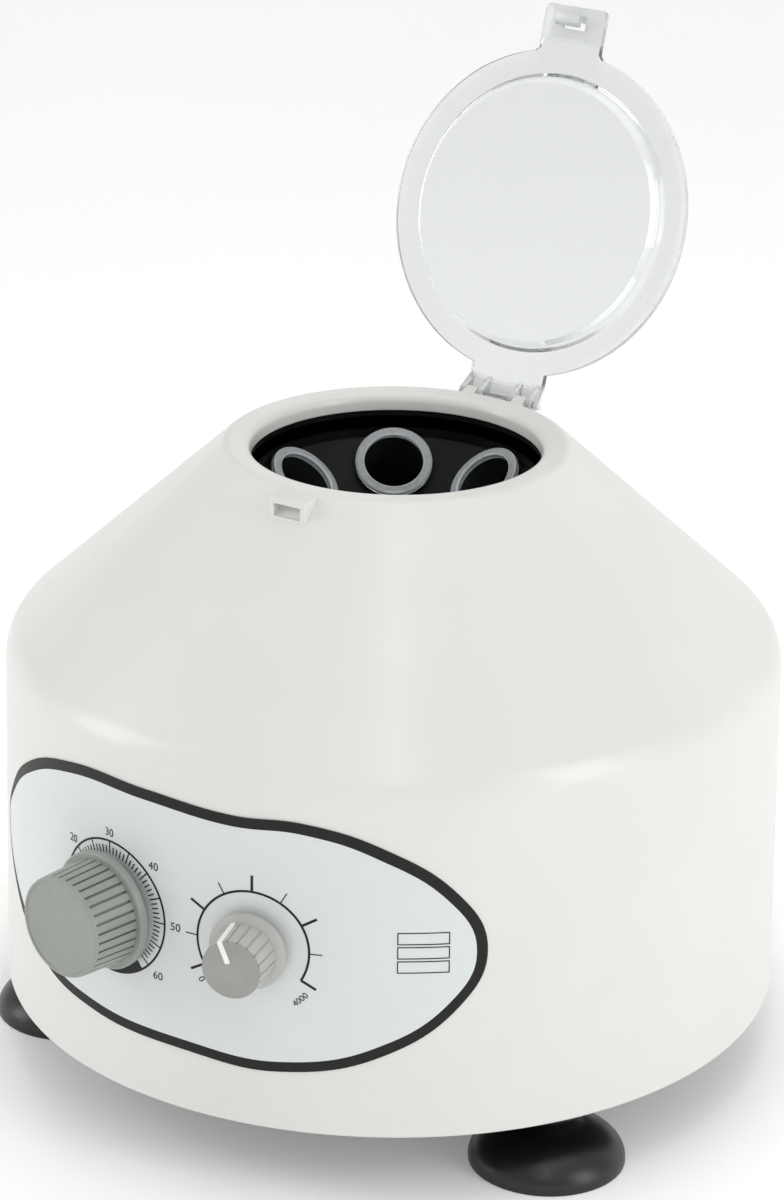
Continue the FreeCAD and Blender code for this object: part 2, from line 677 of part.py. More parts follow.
def stack_top():
    return brush_z() - COMMUTATOR[1] / 2 - END_GAP - COIL_THICK


def brush_box(width, height, near, far):
    return block(near, far, -width / 2, width / 2, brush_z() - height / 2, brush_z() + height / 2)


def holder_span():
    return COMMUTATOR[0] + 2.0, MOTOR_RADIUS - 0.5


def motor_can():
    can = ring(MOTOR_RADIUS, MOTOR_RADIUS - MOTOR_WALL, MOTOR_Z, CAN_TOP)
    near, far = holder_span()
    window = brush_box(BRUSH[0] + 2 * HOLDER_WALL, BRUSH[1] + 2 * HOLDER_WALL, near, far + 5)
    return can.cut([window, turned(window, 180)])


def motor_end_bell():
    bell = ring(MOTOR_RADIUS, MOTOR_SPINDLE + 3, CAN_TOP, MOTOR_TOP)
    boss = ring(BEARING[0] + 3, MOTOR_SPINDLE + 3, bearing_high_z() - 1, CAN_TOP)
    seat = cylinder(BEARING[0] + PRESS_FIT, bearing_high_z() - 2, bearing_high_z() + BEARING[1])
    return union([bell, boss]).cut(seat)


def motor_bottom_plate():
    plate = ring(MOTOR_RADIUS - MOTOR_WALL - PRESS_FIT, MOTOR_SPINDLE + 3, MOTOR_Z, MOTOR_Z + 4)
    boss = ring(BEARING[0] + 3, MOTOR_SPINDLE + 3, MOTOR_Z, bearing_low_z() + BEARING[1])
    seat = cylinder(BEARING[0] + PRESS_FIT, bearing_low_z(), bearing_low_z() + BEARING[1] + 1)
    return union([plate, boss]).cut(seat)


def stator_core():
    """Laminated ring with two facing poles."""
    low = stack_z()
    high = stack_top()
    outer = MOTOR_RADIUS - MOTOR_WALL - PRESS_FIT
    yoke = ring(outer, outer - YOKE_THICK, low, high)
    poles = block(-outer, outer, -POLE_HALF, POLE_HALF, low, high)
    poles = poles.common(cylinder(outer - YOKE_THICK / 2, low, high))
    return union([yoke, poles]).cut(cylinder(ARMATURE_RADIUS + AIR_GAP, low, high))


def field_coils():
    """One winding around each pole: an upright loop above, below and beside the lamination."""
    low = stack_z()
    high = stack_top()
    inner_half = POLE_HALF + SEAT_GAP
    outer_half = inner_half + COIL_WIDTH
    near = ARMATURE_RADIUS + AIR_GAP + END_GAP
    far = sqrt((MOTOR_RADIUS - MOTOR_WALL - YOKE_THICK - 2 * SEAT_GAP) ** 2 - outer_half ** 2)
    loop = block(near, far, -outer_half, outer_half, low - COIL_WIDTH, high + COIL_WIDTH)
    loop = loop.cut(block(near - 1, far + 1, -inner_half, inner_half, low - SEAT_GAP, high + SEAT_GAP))
    return group([loop, turned(loop, 180)])


def armature():
    core = ring(ARMATURE_RADIUS, MOTOR_SPINDLE + PRESS_FIT, stack_z(), stack_top())
    slots = [cylinder(2.2, stack_z(), stack_top(), *polar(ARMATURE_RADIUS - 2.5, i * 30)) for i in range(12)]
    return core.cut(slots)


def armature_winding():
    """End turns of the armature winding, above and below its core."""
    turns = [ring(ARMATURE_RADIUS - 3, MOTOR_SPINDLE + 1, low, low + COIL_THICK)
             for low in (stack_z() - COIL_THICK, stack_top())]
    return group(turns)


def commutator():
    low = brush_z() - COMMUTATOR[1] / 2
    return ring(COMMUTATOR[0], MOTOR_SPINDLE + PRESS_FIT, low, low + COMMUTATOR[1])


def cooling_fan():
    hub = ring(10, MOTOR_SPINDLE + PRESS_FIT, fan_z(), fan_z() + FAN[1])
    disc = ring(FAN[0], 9, fan_z(), fan_z() + 1.5)
    blade = block(9.5, FAN[0] - 0.5, -0.75, 0.75, fan_z() + 1, fan_z() + FAN[1])
    return union([hub, disc] + around(blade, [i * 360 / FAN_BLADES for i in range(FAN_BLADES)]))


def brush_holders():
    near, far = holder_span()
    box = brush_box(BRUSH[0] + 2 * HOLDER_WALL - 0.1, BRUSH[1] + 2 * HOLDER_WALL - 0.1, near, far)
    box = box.cut(brush_box(BRUSH[0] + 0.1, BRUSH[1] + 0.1, near - 1, far - 1.5))
    return group([box, turned(box, 180)])


def carbon_brushes():
    near = COMMUTATOR[0] + 0.1
    brush = brush_box(BRUSH[0], BRUSH[1], near, near + BRUSH[2])
    face = cylinder(COMMUTATOR[0] + 0.1, brush_z() - BRUSH[1], brush_z() + BRUSH[1])
    return group([brush.cut(face), turned(brush.cut(face), 180)])


def brush_springs():
    """Coil springs that push the brushes in, as plain cylinders of the coil's outside size."""
    near = COMMUTATOR[0] + 0.1 + BRUSH[2]
    far = holder_span()[1] - 1.5
    spring = rod(2.4, V(near, 0, brush_z()), V(far, 0, brush_z()))
    return group([spring, turned(spring, 180)])


def motor_bracket():
    low = DECK_Z + DAMPER_HEIGHT
    plate = ring(MOTOR_RADIUS + BRACKET_EDGE, 9, low, MOTOR_Z)
    holes = [cylinder(SCREW_RADIUS + 0.2, low - 1, MOTOR_Z + 1, x, y)
             for x, y in plate_places(damper_circle(), damper_angles())]
    return plate.cut(holes)


def motor_dampers():
    return group([ring(DAMPER_RADIUS, SCREW_RADIUS, DECK_Z, DECK_Z + DAMPER_HEIGHT, x, y)
                  for x, y in plate_places(damper_circle(), damper_angles())])


# ---- controls
def control_z():
    return EDGE_Z + CONTROL_HEIGHT


def wall_face(size):
    """Local y of a flat face of radius size that lies against the inside of the wall."""
    inside = wall_radius(control_z() + size, HOUSING_WALL)
    return -sqrt(inside ** 2 - size ** 2) + SEAT_GAP


def knob_base():
    return -(wall_radius(control_z()) + PANEL_THICK + KNOB_STANDOFF)


def shaft_hole(reach):
    """Running bore for a control shaft, reaching a depth into its body."""
    return rod_y(SHAFT_RADIUS + RUNNING_FIT, knob_base() - 5, reach, z=control_z())


def control_unit(body, bush, azimuth):
    """Round control body behind the wall, with a threaded bush through it."""
    radius, depth = body
    face = wall_face(radius)
    case = rod_y(radius, face, face + depth, z=control_z())
    neck = rod_y(bush, knob_base() + 0.8, face + 1, z=control_z())
    unit = union([case, neck]).cut(shaft_hole(face + depth - 4))
    return turned(unit, azimuth)


def control_nut(bush, azimuth):
    radius = bush + 3.0
    face = -wall_radius(control_z() - radius, -PANEL_GLUE - PANEL_THICK)
    nut = rod_y(radius, face - NUT_THICK, face, z=control_z())
    return turned(nut.cut(rod_y(bush + PRESS_FIT, face - NUT_THICK - 1, face + 1, z=control_z())), azimuth)


def control_shaft(body, azimuth):
    face = wall_face(body[0])
    shaft = rod_y(SHAFT_RADIUS, knob_base() - SHAFT_BITE, face + body[1] - 5, z=control_z())
    return turned(shaft, azimuth)


def knob(sizes, azimuth):
    """Tapered knob with a flange at its root and a blind bore for its shaft."""
    face_radius, root_radius, flange_radius, flange_thick, length = sizes
    base = knob_base()
    flange = rod_y(flange_radius, base - flange_thick, base, z=control_z())
    stem = Part.makeCone(root_radius, face_radius, length, V(0, base, control_z()), V(0, -1, 0))
    bore = rod_y(SHAFT_RADIUS + PRESS_FIT, base - SHAFT_BITE - 0.3, base + 1, z=control_z())
    return turned(union([flange, stem]).cut(bore), azimuth)


def speed_pointer():
    """White index line over the knob's face and down its side."""
    face_radius, root_radius, _, flange_thick, length = SPEED_KNOB
    tip = knob_base() - length
    half = POINTER_WIDTH / 2
    z = control_z()
    across = block(-half, half, tip - POINTER_PROUD, tip, z + 1.0, z + face_radius)
    down = block(-half, half, tip - POINTER_PROUD, knob_base() - flange_thick,
                 z + face_radius - 0.4, z + root_radius + POINTER_PROUD)
    line = across.fuse(down).cut(Part.makeCone(root_radius, face_radius, length,
                                               V(0, knob_base(), z), V(0, -1, 0)))
    line.rotate(V(0, 0, z), V(0, 1, 0), POINTER_ANGLE)
    return turned(line, SPEED_AZIMUTH)


# ---- rear fittings
def socket_void():
    """Mains socket: a rectangle with its two upper corners cut off."""
    low, high = (EDGE_Z + height for height in SOCKET_HEIGHTS)
    half = SOCKET_WIDTH / 2
    corners = [(-half, low), (half, low), (half, high - SOCKET_CORNER), (half - SOCKET_CORNER, high),
               (SOCKET_CORNER - half, high), (-half, high - SOCKET_CORNER)]
    front = tray_y() - FLANGE_THICK
    points = [V(x, front, z) for x, z in corners + corners[:1]]
    return Part.Face(Part.makePolygon(points)).extrude(V(0, SOCKET_DEPTH + FLANGE_THICK, 0))


def mains_inlet():
    face = tray_y()
    flange = rear_block(INLET_WIDTH, INLET_HEIGHTS, face - FLANGE_THICK, face)
    inner = (INLET_HEIGHTS[0] + 2 + SEAT_GAP, INLET_HEIGHTS[1] - 1.5 - SEAT_GAP)
    body = rear_block(INLET_WIDTH - 4 - 2 * SEAT_GAP, inner, face - 0.5, face + INLET_DEPTH)
    way = (DRAWER_HEIGHTS[0] - SEAT_GAP, DRAWER_HEIGHTS[1] + SEAT_GAP)
    drawer = rear_block(DRAWER_WIDTH + 2 * SEAT_GAP, way, face - FLANGE_THICK - 1, face + DRAWER_DEPTH)
    return to_rear(union([flange, body]).cut([socket_void(), drawer]))


def inlet_pins():
    """Three flat contacts standing on the socket's floor."""
    width, height, length = PIN_SIZE
    floor = tray_y() + SOCKET_DEPTH
    middle = EDGE_Z + sum(SOCKET_HEIGHTS) / 2
    pins = []
    for x, z in ((-PIN_PITCH / 2, middle - 2), (PIN_PITCH / 2, middle - 2), (0, middle + 3.5)):
        pins.append(block(x - width / 2, x + width / 2, floor - length, floor,
                          z - height / 2, z + height / 2))
    return to_rear(group(pins))


def fuse_drawer():
    """Sliding drawer with a trough for the fuse and a lip to pull it by."""
    front = tray_y() - FLANGE_THICK
    body = rear_block(DRAWER_WIDTH, DRAWER_HEIGHTS, front - DRAWER_LIP, tray_y() + DRAWER_DEPTH - SEAT_GAP)
    lip = rear_block(DRAWER_WIDTH + 3, (DRAWER_HEIGHTS[0] - 1, DRAWER_HEIGHTS[1] + 1),
                     front - SEAT_GAP - DRAWER_LIP, front - SEAT_GAP)
    trough = block(-FUSE_RADIUS - SEAT_GAP, FUSE_RADIUS + SEAT_GAP, fuse_y() - SEAT_GAP,
                   fuse_y() + FUSE_LENGTH + SEAT_GAP, fuse_z() - FUSE_RADIUS, EDGE_Z + DRAWER_HEIGHTS[1] + 1)
    return to_rear(union([body, lip]).cut(trough))


def fuse_y():
    return tray_y() + 1.0


def fuse_z():
    return EDGE_Z + DRAWER_HEIGHTS[1] - FUSE_RADIUS - 0.1


def fuse():
    return to_rear(rod_y(FUSE_RADIUS, fuse_y(), fuse_y() + FUSE_LENGTH, z=fuse_z()))


def rocker_axis():
    """Local y and height of the rocker's pivot."""
    return tray_y() + 1.0, EDGE_Z + sum(SWITCH_HEIGHTS) / 2


def switch_frame():
    """Bezel and case of the mains switch, with a well for the rocker."""
    face = tray_y()
    low, high = SWITCH_HEIGHTS
    bezel = rear_block(SWITCH_WIDTH, SWITCH_HEIGHTS, face - FLANGE_THICK, face)
    case = rear_block(SWITCH_WIDTH - 3 - 2 * SEAT_GAP, (low + 1.5 + SEAT_GAP, high - 1.5 - SEAT_GAP),
                      face - 0.5, face + SWITCH_DEPTH)
    middle = (low + high) / 2
    well = rear_block(ROCKER_WIDTH + 2 * SEAT_GAP, (middle - ROCKER_HALF - 1.0, middle + ROCKER_HALF + 1.0),
                      face - FLANGE_THICK - 1, face + 8)
    pivot_y, pivot_z = rocker_axis()
    pivot = rod_x(1.0 + RUNNING_FIT, ROCKER_WIDTH + 2.4, pivot_y, pivot_z)
    return to_rear(union([bezel, case]).cut([well, pivot]))


def rocker():
    """Two-way rocker on stub pivots, resting with its lower half pressed in."""
    y, z = rocker_axis()
    half = ROCKER_HALF
    outline = [(-4.4, -half), (-3.5, 0), (-4.4, half), (1.5, half - 1.2), (2.6, 0), (1.5, 1.2 - half)]
    shape = slab([(y + dy, z + dz) for dy, dz in outline], ROCKER_WIDTH)
    shape = union([shape, rod_x(1.0, ROCKER_WIDTH + 2.0, y, z)])
    return to_rear(turned(shape, ROCKER_TILT, V(0, y, z), V(1, 0, 0)))


# ---- circuit board
def board_z():
    return DECK_Z + BOARD_LIFT


def standoff_places():
    x, y = BOARD_CORNER
    inset = STANDOFF_INSET
    return [(x + dx, y + dy) for dx in (inset, BOARD[0] - inset) for dy in (inset, BOARD[1] - inset)]


def circuit_board():
    x, y = BOARD_CORNER
    board = block(x, x + BOARD[0], y, y + BOARD[1], board_z(), board_z() + BOARD[2])
    holes = [cylinder(SCREW_RADIUS, board_z() - 1, board_z() + 3, px, py) for px, py in standoff_places()]
    return board.cut(holes)


def board_standoffs():
    return group([ring(STANDOFF_RADIUS, SCREW_RADIUS, DECK_Z, board_z(), x, y) for x, y in standoff_places()])


def on_board(dx, dy, width, depth, height):
    """A block standing on the board, at an offset from the board's corner."""
    x, y = BOARD_CORNER
    top = board_z() + BOARD[2]
    return block(x + dx, x + dx + width, y + dy, y + dy + depth, top, top + height)


def suppression_capacitor():
    return on_board(8, 10, 11, 22, 14)


def triac_heatsink():
    fins = [on_board(22, 12 + i * 4, 10, 1.2, 22) for i in range(5)]
    return union(fins + [on_board(22, 12, 1.5, 17.2, 22)])


def terminal_block():
    return on_board(9, 38, 18, 9, 10)


# ---- lid
def lid_closed():
    """Clear lid in its shut position: sunk centre, flat flange, hinge tab, tongue and hook."""
    edge = LIP_RADIUS - LID_OVERHANG
    bevel = MOUTH_RADIUS + 0.8
    floor = bevel - LID_BEVEL
    z = LID_Z
    top = z + LID_THICK
    plate = lathe([(0, z - LID_SINK), (floor, z - LID_SINK), (bevel, z), (edge, z), (edge, top),
                   (bevel + 1.2, top), (floor + 1.2, top - LID_SINK), (0, top - LID_SINK)])
    half = HINGE_TAB_WIDTH / 2
    tab = block(-half, half, bevel + 1.5, HINGE_Y + 1.5, z, top)
    shapes = [plate, tab, tongue(), hook()] + [hinge_rib(sign * x) for sign in (-1, 1) for x in RIB_OFFSETS]
    slot_y = -BOSS_FRONT - SEAT_GAP
    slot = block(-HOOK_WIDTH / 2, HOOK_WIDTH / 2, slot_y, slot_y + BARB_DEPTH + 0.7, z - 0.01, top + 1)
    bore = rod_x(PIN_RADIUS + RUNNING_FIT, PIN_LENGTH, HINGE_Y, HINGE_Z)
    return union(shapes).cut([slot, bore])


def tongue():
    """Flat tongue over the latch boss, flared into the flange and rounded at its tip."""
    half = TONGUE_WIDTH / 2
    edge = LIP_RADIUS - LID_OVERHANG
    root = -sqrt(edge ** 2 - (half + TONGUE_FLARE) ** 2)
    corners = [(-half - TONGUE_FLARE, root + 0.5), (-half, root - TONGUE_FLARE - 1.5), (-half, -TONGUE_REACH),
               (half, -TONGUE_REACH), (half, root - TONGUE_FLARE - 1.5), (half + TONGUE_FLARE, root + 0.5),
               (half, -edge + 5), (-half, -edge + 5)]
    points = [V(x, y, LID_Z) for x, y in corners + corners[:1]]
    plate = Part.Face(Part.makePolygon(points)).extrude(V(0, 0, LID_THICK))
    tips = [edge for edge in plate.Edges if abs(edge.Vertexes[0].Y + TONGUE_REACH) < 0.01
            and abs(edge.Vertexes[-1].Y + TONGUE_REACH) < 0.01
            and abs(edge.Vertexes[0].X - edge.Vertexes[-1].X) < 0.01]
    return plate.makeFillet(TONGUE_CORNER, tips)


def hook():
    """Leg in front of the latch boss with a barb that catches under its bar."""
    leg_y = -BOSS_FRONT - SEAT_GAP
    barb_top = CREST_Z - BOSS_BAR - SEAT_GAP
    barb_low = barb_top - BARB_HEIGHT
    half = HOOK_WIDTH / 2
    leg = block(-half, half, leg_y - HOOK_THICK, leg_y, barb_low, LID_Z + 0.5)
    barb = slab([(leg_y - 0.5, barb_low), (leg_y - 0.5, barb_top), (leg_y + BARB_DEPTH, barb_top),
                 (leg_y + BARB_DEPTH, barb_top - 0.8), (leg_y + 0.4, barb_low)], HOOK_WIDTH)
    return leg.fuse(barb)


def hinge_rib(x):
    """Triangular rib from the tab down to the hinge pin, clear of the cone below it."""
    lean = CONE_RISE
    clear = 0.4
    line_y = LIP_RADIUS + clear * sin(radians(lean))
    top_y = line_y - (LID_Z - CREST_Z - clear * cos(radians(lean))) / CONE_SLOPE
    foot_y = HINGE_Y - KNUCKLE_RADIUS * sin(radians(lean))
    foot_z = HINGE_Z - KNUCKLE_RADIUS * cos(radians(lean))
    outline = [(top_y + 0.3, LID_Z + 0.3), (foot_y, foot_z), (HINGE_Y + KNUCKLE_RADIUS, HINGE_Z),
               (HINGE_Y + 1.5, LID_Z + 0.3)]
    rib = slab(outline, RIB_THICK, x)
    return rib.fuse(rod_x(KNUCKLE_RADIUS, RIB_THICK, HINGE_Y, HINGE_Z, x))


def lid():
    return turned(lid_closed(), -LID_OPEN_ANGLE, V(0, HINGE_Y, HINGE_Z), V(1, 0, 0))


def hinge_pin():
    return rod_x(PIN_RADIUS, PIN_LENGTH, HINGE_Y, HINGE_Z)


# ---- fasteners
def base_screws():
    places = plate_places(base_screw_circle(), BASE_SCREW_POLAR)
    return group([screw_up(x, y, PLATE_Z, 14) for x, y in places])


def machine_screws():
    """Screws of the bowl's posts, the motor's dampers and the circuit board."""
    posts = plate_places(POST_CIRCLE, POST_POLAR)
    dampers = plate_places(damper_circle(), damper_angles())
    screws = [screw(x, y, FLOOR_Z, 10) for x, y in posts] + [screw_up(x, y, PLATE_Z, 10) for x, y in posts]
    screws += [screw(x, y, MOTOR_Z, 7) for x, y in dampers] + [screw_up(x, y, PLATE_Z, 6) for x, y in dampers]
    screws += [screw(x, y, board_z() + BOARD[2], 6, (2.6, 1.6)) for x, y in standoff_places()]
    return group(screws)


NODES = {
    "housing": housing(),
    "control_panel": control_panel(),
    "base_plate": base_plate(),
    "base_screws": base_screws(),
    "foot_studs": foot_studs(),
    "chamber_bowl": chamber_bowl(),
    "chamber_shroud": chamber_shroud(),
    "bowl_posts": bowl_posts(),
    "machine_screws": machine_screws(),
    "motor_can": motor_can(),
    "motor_end_bell": motor_end_bell(),
    "motor_bottom_plate": motor_bottom_plate(),
    "stator_core": stator_core(),
    "field_coils": field_coils(),
    "brush_holders": brush_holders(),
    "carbon_brushes": carbon_brushes(),
    "brush_springs": brush_springs(),
    "bearing_lower": bearing_rest(bearing_low_z()),
    "bearing_upper": bearing_rest(bearing_high_z()),
    "motor_bracket": motor_bracket(),
    "motor_dampers": motor_dampers(),
    "timer_unit": control_unit(TIMER_BODY, TIMER_BUSH, TIMER_AZIMUTH),
    "speed_control": control_unit(SPEED_BODY, SPEED_BUSH, SPEED_AZIMUTH),
    "control_nuts": group([control_nut(TIMER_BUSH, TIMER_AZIMUTH), control_nut(SPEED_BUSH, SPEED_AZIMUTH)]),
    "circuit_board": circuit_board(),
    "board_standoffs": board_standoffs(),
    "suppression_capacitor": suppression_capacitor(),
    "triac_heatsink": triac_heatsink(),
    "terminal_block": terminal_block(),
    "mains_inlet": mains_inlet(),
    "inlet_pins": inlet_pins(),
    "switch_frame": switch_frame(),
    "hinge_pin": hinge_pin(),
    "rotor_body": rotor_body(),
    "rotor_washer": rotor_washer(),
    "rotor_nut": rotor_nut(),
    "motor_shaft": motor_shaft(),
    "armature_core": armature(),
    "armature_winding": armature_winding(),
    "commutator": commutator(),
    "cooling_fan": cooling_fan(),
    "lid": lid(),
    "timer_knob": knob(TIMER_KNOB, TIMER_AZIMUTH),
    "timer_shaft": control_shaft(TIMER_BODY, TIMER_AZIMUTH),
    "speed_knob": knob(SPEED_KNOB, SPEED_AZIMUTH),
    "speed_pointer": speed_pointer(),
    "speed_shaft": control_shaft(SPEED_BODY, SPEED_AZIMUTH),
    "fuse_drawer": fuse_drawer(),
    "fuse": fuse(),
    "rocker": rocker(),
}
for side, angle in FOOT_POLAR.items():
    NODES["foot_" + side] = foot(angle)
for number in range(TUBE_COUNT):
    NODES["tube_%d" % (number + 1)] = tube(number)

for name, shape in NODES.items():
    valid = "" if shape.isValid() else "INVALID"
    print("%-24s %3d solid(s) %12.1f mm3 %s" % (name, len(shape.Solids), shape.Volume, valid))
    shape.exportStep("parts/%s.step" % name)
print("rim height %.1f, overall radius %.1f, nodes %d" % (CREST_Z, EDGE_RADIUS, len(NODES)))
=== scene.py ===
import json
from math import atan2, cos, pi, radians, sin, sqrt, tan, tau

import bpy
from mathutils import Matrix, Vector


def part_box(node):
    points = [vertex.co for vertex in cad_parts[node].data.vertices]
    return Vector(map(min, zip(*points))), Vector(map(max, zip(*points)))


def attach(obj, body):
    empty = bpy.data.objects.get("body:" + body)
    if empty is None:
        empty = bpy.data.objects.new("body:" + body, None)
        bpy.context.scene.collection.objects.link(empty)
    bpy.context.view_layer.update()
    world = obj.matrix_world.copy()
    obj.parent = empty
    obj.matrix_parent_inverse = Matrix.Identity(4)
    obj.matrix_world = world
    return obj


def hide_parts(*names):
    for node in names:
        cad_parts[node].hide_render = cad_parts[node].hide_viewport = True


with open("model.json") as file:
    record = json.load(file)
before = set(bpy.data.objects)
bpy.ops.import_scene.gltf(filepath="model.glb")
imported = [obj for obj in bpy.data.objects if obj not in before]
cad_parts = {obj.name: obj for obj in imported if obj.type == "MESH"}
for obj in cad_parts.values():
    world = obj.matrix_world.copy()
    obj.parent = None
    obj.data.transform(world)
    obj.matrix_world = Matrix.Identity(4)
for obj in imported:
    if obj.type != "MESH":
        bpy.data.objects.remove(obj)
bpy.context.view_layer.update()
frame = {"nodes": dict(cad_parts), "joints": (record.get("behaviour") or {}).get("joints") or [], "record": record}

MM = 0.001

# Sizes are in millimetres; the shape helpers below turn them into metres.

# ---- the housing, as the frame has it
low_corner, high_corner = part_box("housing")
EDGE_RADIUS = high_corner.x / MM
EDGE_Z = low_corner.z / MM
CREST_Z = high_corner.z / MM
HOUSING_WALL = 3.0
WALL_DRAFT = 1.7
SHOULDER_RADIUS = EDGE_RADIUS - WALL_DRAFT
LIP_RADIUS = 57.035
MOUTH_RADIUS = 48.235
LIP_DEPTH = 6.2
CONE_RISE = radians(42.56)
CONE_SLOPE = tan(CONE_RISE)
CONE_COS = cos(CONE_RISE)
SHOULDER_Z = CREST_Z - (SHOULDER_RADIUS - LIP_RADIUS) * CONE_SLOPE
WALL_LEAN = WALL_DRAFT / (SHOULDER_Z - EDGE_Z)
POST_CIRCLE = EDGE_RADIUS - 8.5
SEAT_GAP = 0.3

# ---- latch boss, hinge and lid
BOSS_ROOT = LIP_RADIUS - 1.0
BOSS_FRONT = LIP_RADIUS + 8.4
BOSS_WIDTH = 13.4
BOSS_WALL = 1.7
BOSS_BAR = 2.6
BOSS_DROP = 0.6
BOSS_SILL = 0.5
HOOK_WIDTH = 9.4
HOOK_BACK = -BOSS_FRONT - SEAT_GAP
RIB_OFFSETS = (6.2, 13.1)
RIB_THICK = 2.0
LID_OPEN = 109
LID_THICK = 2.8
LID_SINK = 3.2
LID_EDGE = LIP_RADIUS - 1.0
LID_Z = CREST_Z + 0.3
LID_TOP = LID_Z + LID_THICK
BEVEL_RADIUS = 46.6
TAB_HALF = 14.25
TONGUE_HALF = 11.75
EJECTOR_CIRCLE = 53.0
EJECTOR_ANGLES = (25, 80, 140, 215, 260, 325)
KNUCKLE = 2.3
PIN = 1.0
PIN_HALF = 15

# ---- panel, knobs and dials
# The panel's outline as degrees round the wall and height over the housing's edge.
PANEL_OUTLINE = ((-44.7, 66), (-41.7, 79), (-33.5, 95), (-20, 106.6), (-5, 108.6), (10, 107.2),
                 (20.5, 107.6), (31, 100.9), (41.3, 85.2), (45.6, 65.4), (41.6, 45.8), (31.2, 29.3),
                 (17, 21.2), (2, 21.9), (-14.5, 23.2), (-28, 29), (-40, 45))
PANEL_THICK = 0.55
PANEL_LOW = 12
PANEL_HIGH = 115
WALL_STEPS = 360
# The black border is narrower at its left and right ends, over these reaches.
BORDER_WIDTH = 3.5
BORDER_LEFT = 0.9
BORDER_RIGHT = 2.3
LEFT_REACH = 26
RIGHT_REACH = 22
KNOB_STANDOFF = 2.6
# The speed knob: radii of face, root and skirt, the skirt's thickness and the length.
SPEED_FACE = 9.7
SPEED_ROOT = 10.6
SPEED_SKIRT = 12.8
SPEED_THICK = 2.5
SPEED_LENGTH = 15.1
# Ribs, the sides of the circle that each takes, and the groove's depth.
SPEED_RIBS = (18, 5, 0.5)
POINTER_TURN = 22


# ---- picking and edit mode
def pick(*pieces):
    bpy.ops.object.select_all(action="DESELECT")
    for piece in pieces:
        piece.select_set(True)
    bpy.context.view_layer.objects.active = pieces[0]


def edit(mode="FACE"):
    bpy.ops.object.mode_set(mode="EDIT")
    bpy.ops.mesh.select_mode(type=mode)


def leave():
    bpy.ops.object.mode_set(mode="OBJECT")


def named(name):
    piece = bpy.context.object
    piece.name = name
    piece.data.name = name
    return piece


def settle(piece):
    """Put the piece's place, turn and size into its mesh."""
    pick(piece)
    bpy.ops.object.transform_apply(location=True, rotation=True, scale=True)
    return piece


def fresh():
    bpy.ops.object.select_all(action="DESELECT")


def choose(piece, test, kind="polygons"):
    """In object mode, select the faces, edges or vertices that pass a test and nothing else."""
    for element in piece.data.polygons:
        element.select = False
    for element in piece.data.edges:
        element.select = False
    for element in piece.data.vertices:
        element.select = False
    for element in getattr(piece.data, kind):
        element.select = bool(test(element))


def tidy_mesh():
    """In edit mode, merge doubles and turn the faces outwards."""
    bpy.ops.mesh.select_all(action="SELECT")
    bpy.ops.mesh.remove_doubles(threshold=0.000002)
    bpy.ops.mesh.normals_make_consistent(inside=False)


# ---- outlines and forms
def rounded(corners, steps=6):
    """Outline whose corners with a third value are replaced by arcs of that radius."""
    outline = []
    count = len(corners)
    for index, corner in enumerate(corners):
        here = Vector(corner[:2])
        size = corner[2] if len(corner) > 2 else 0
        if not size:
            outline.append(tuple(here))
            continue
        back = (Vector(corners[index - 1][:2]) - here).normalized()
        ahead = (Vector(corners[(index + 1) % count][:2]) - here).normalized()
        half = back.angle(ahead) / 2
        middle = here + (back + ahead).normalized() * size / sin(half)
        start = (here + back * size / tan(half) - middle).normalized()
        end = (here + ahead * size / tan(half) - middle).normalized()
        for step in range(steps + 1):
            outline.append(tuple(middle + start.slerp(end, step / steps) * size))
    return outline


def string(points):
    """Start an edit-mode mesh as one vertex and draw it out along points in millimetres."""
    fresh()
    bpy.ops.mesh.primitive_plane_add(size=MM, location=Vector(points[0]) * MM)
    edit("VERT")
    bpy.ops.mesh.select_all(action="SELECT")
    bpy.ops.mesh.merge(type="CENTER")
    for here, there in zip(points, points[1:]):
        step = (Vector(there) - Vector(here)) * MM
        bpy.ops.mesh.extrude_vertices_move(TRANSFORM_OT_translate={"value": step})


def spun(name, outline, steps=96, closed=True, angle=tau):
    """Turn an outline of (radius, height) points about the Z axis."""
    ends = [outline[0]] if closed else []
    string([(r, 0, z) for r, z in list(outline) + ends])
    bpy.ops.mesh.select_all(action="SELECT")
    bpy.ops.mesh.spin(steps=steps, angle=angle, center=(0, 0, 0), axis=(0, 0, 1))
    tidy_mesh()
    leave()
    return settle(named(name))


def drawn(name, outline, place, depth):
    """Fill an outline of (a, b) points, put into space by place, and draw it out along depth."""
    points = [place(a, b) for a, b in outline]
    string(points + points[:1])
    bpy.ops.mesh.select_all(action="SELECT")
    bpy.ops.mesh.remove_doubles(threshold=0.000002)
    bpy.ops.mesh.select_all(action="SELECT")
    bpy.ops.mesh.edge_face_add()
    bpy.ops.mesh.extrude_region_move(TRANSFORM_OT_translate={"value": Vector(depth) * MM})
    tidy_mesh()
    leave()
    return settle(named(name))


def across(name, outline, width, x=0.0):
    """Draw an outline of (y, z) points out along X, centred on x."""
    return drawn(name, outline, lambda y, z: (x - width / 2, y, z), (width, 0, 0))


def upright(name, outline, low, high):
    """Draw an outline of (x, y) points up from low to high."""
    return drawn(name, outline, lambda x, y: (x, y, low), (0, 0, high - low))


def box_outline(x0, x1, y0, y1, corner=0.0):
    return rounded([(x0, y0, corner), (x1, y0, corner), (x1, y1, corner), (x0, y1, corner)], 4)


def bar(name, radius, length, place, turn=(0, 0, 0), sides=32):
    """Round bar for cutting, centred at a place."""
    fresh()
    bpy.ops.mesh.primitive_cylinder_add(vertices=sides, radius=radius * MM, depth=length * MM,
                                        location=Vector(place) * MM, rotation=turn)
    return settle(named(name))


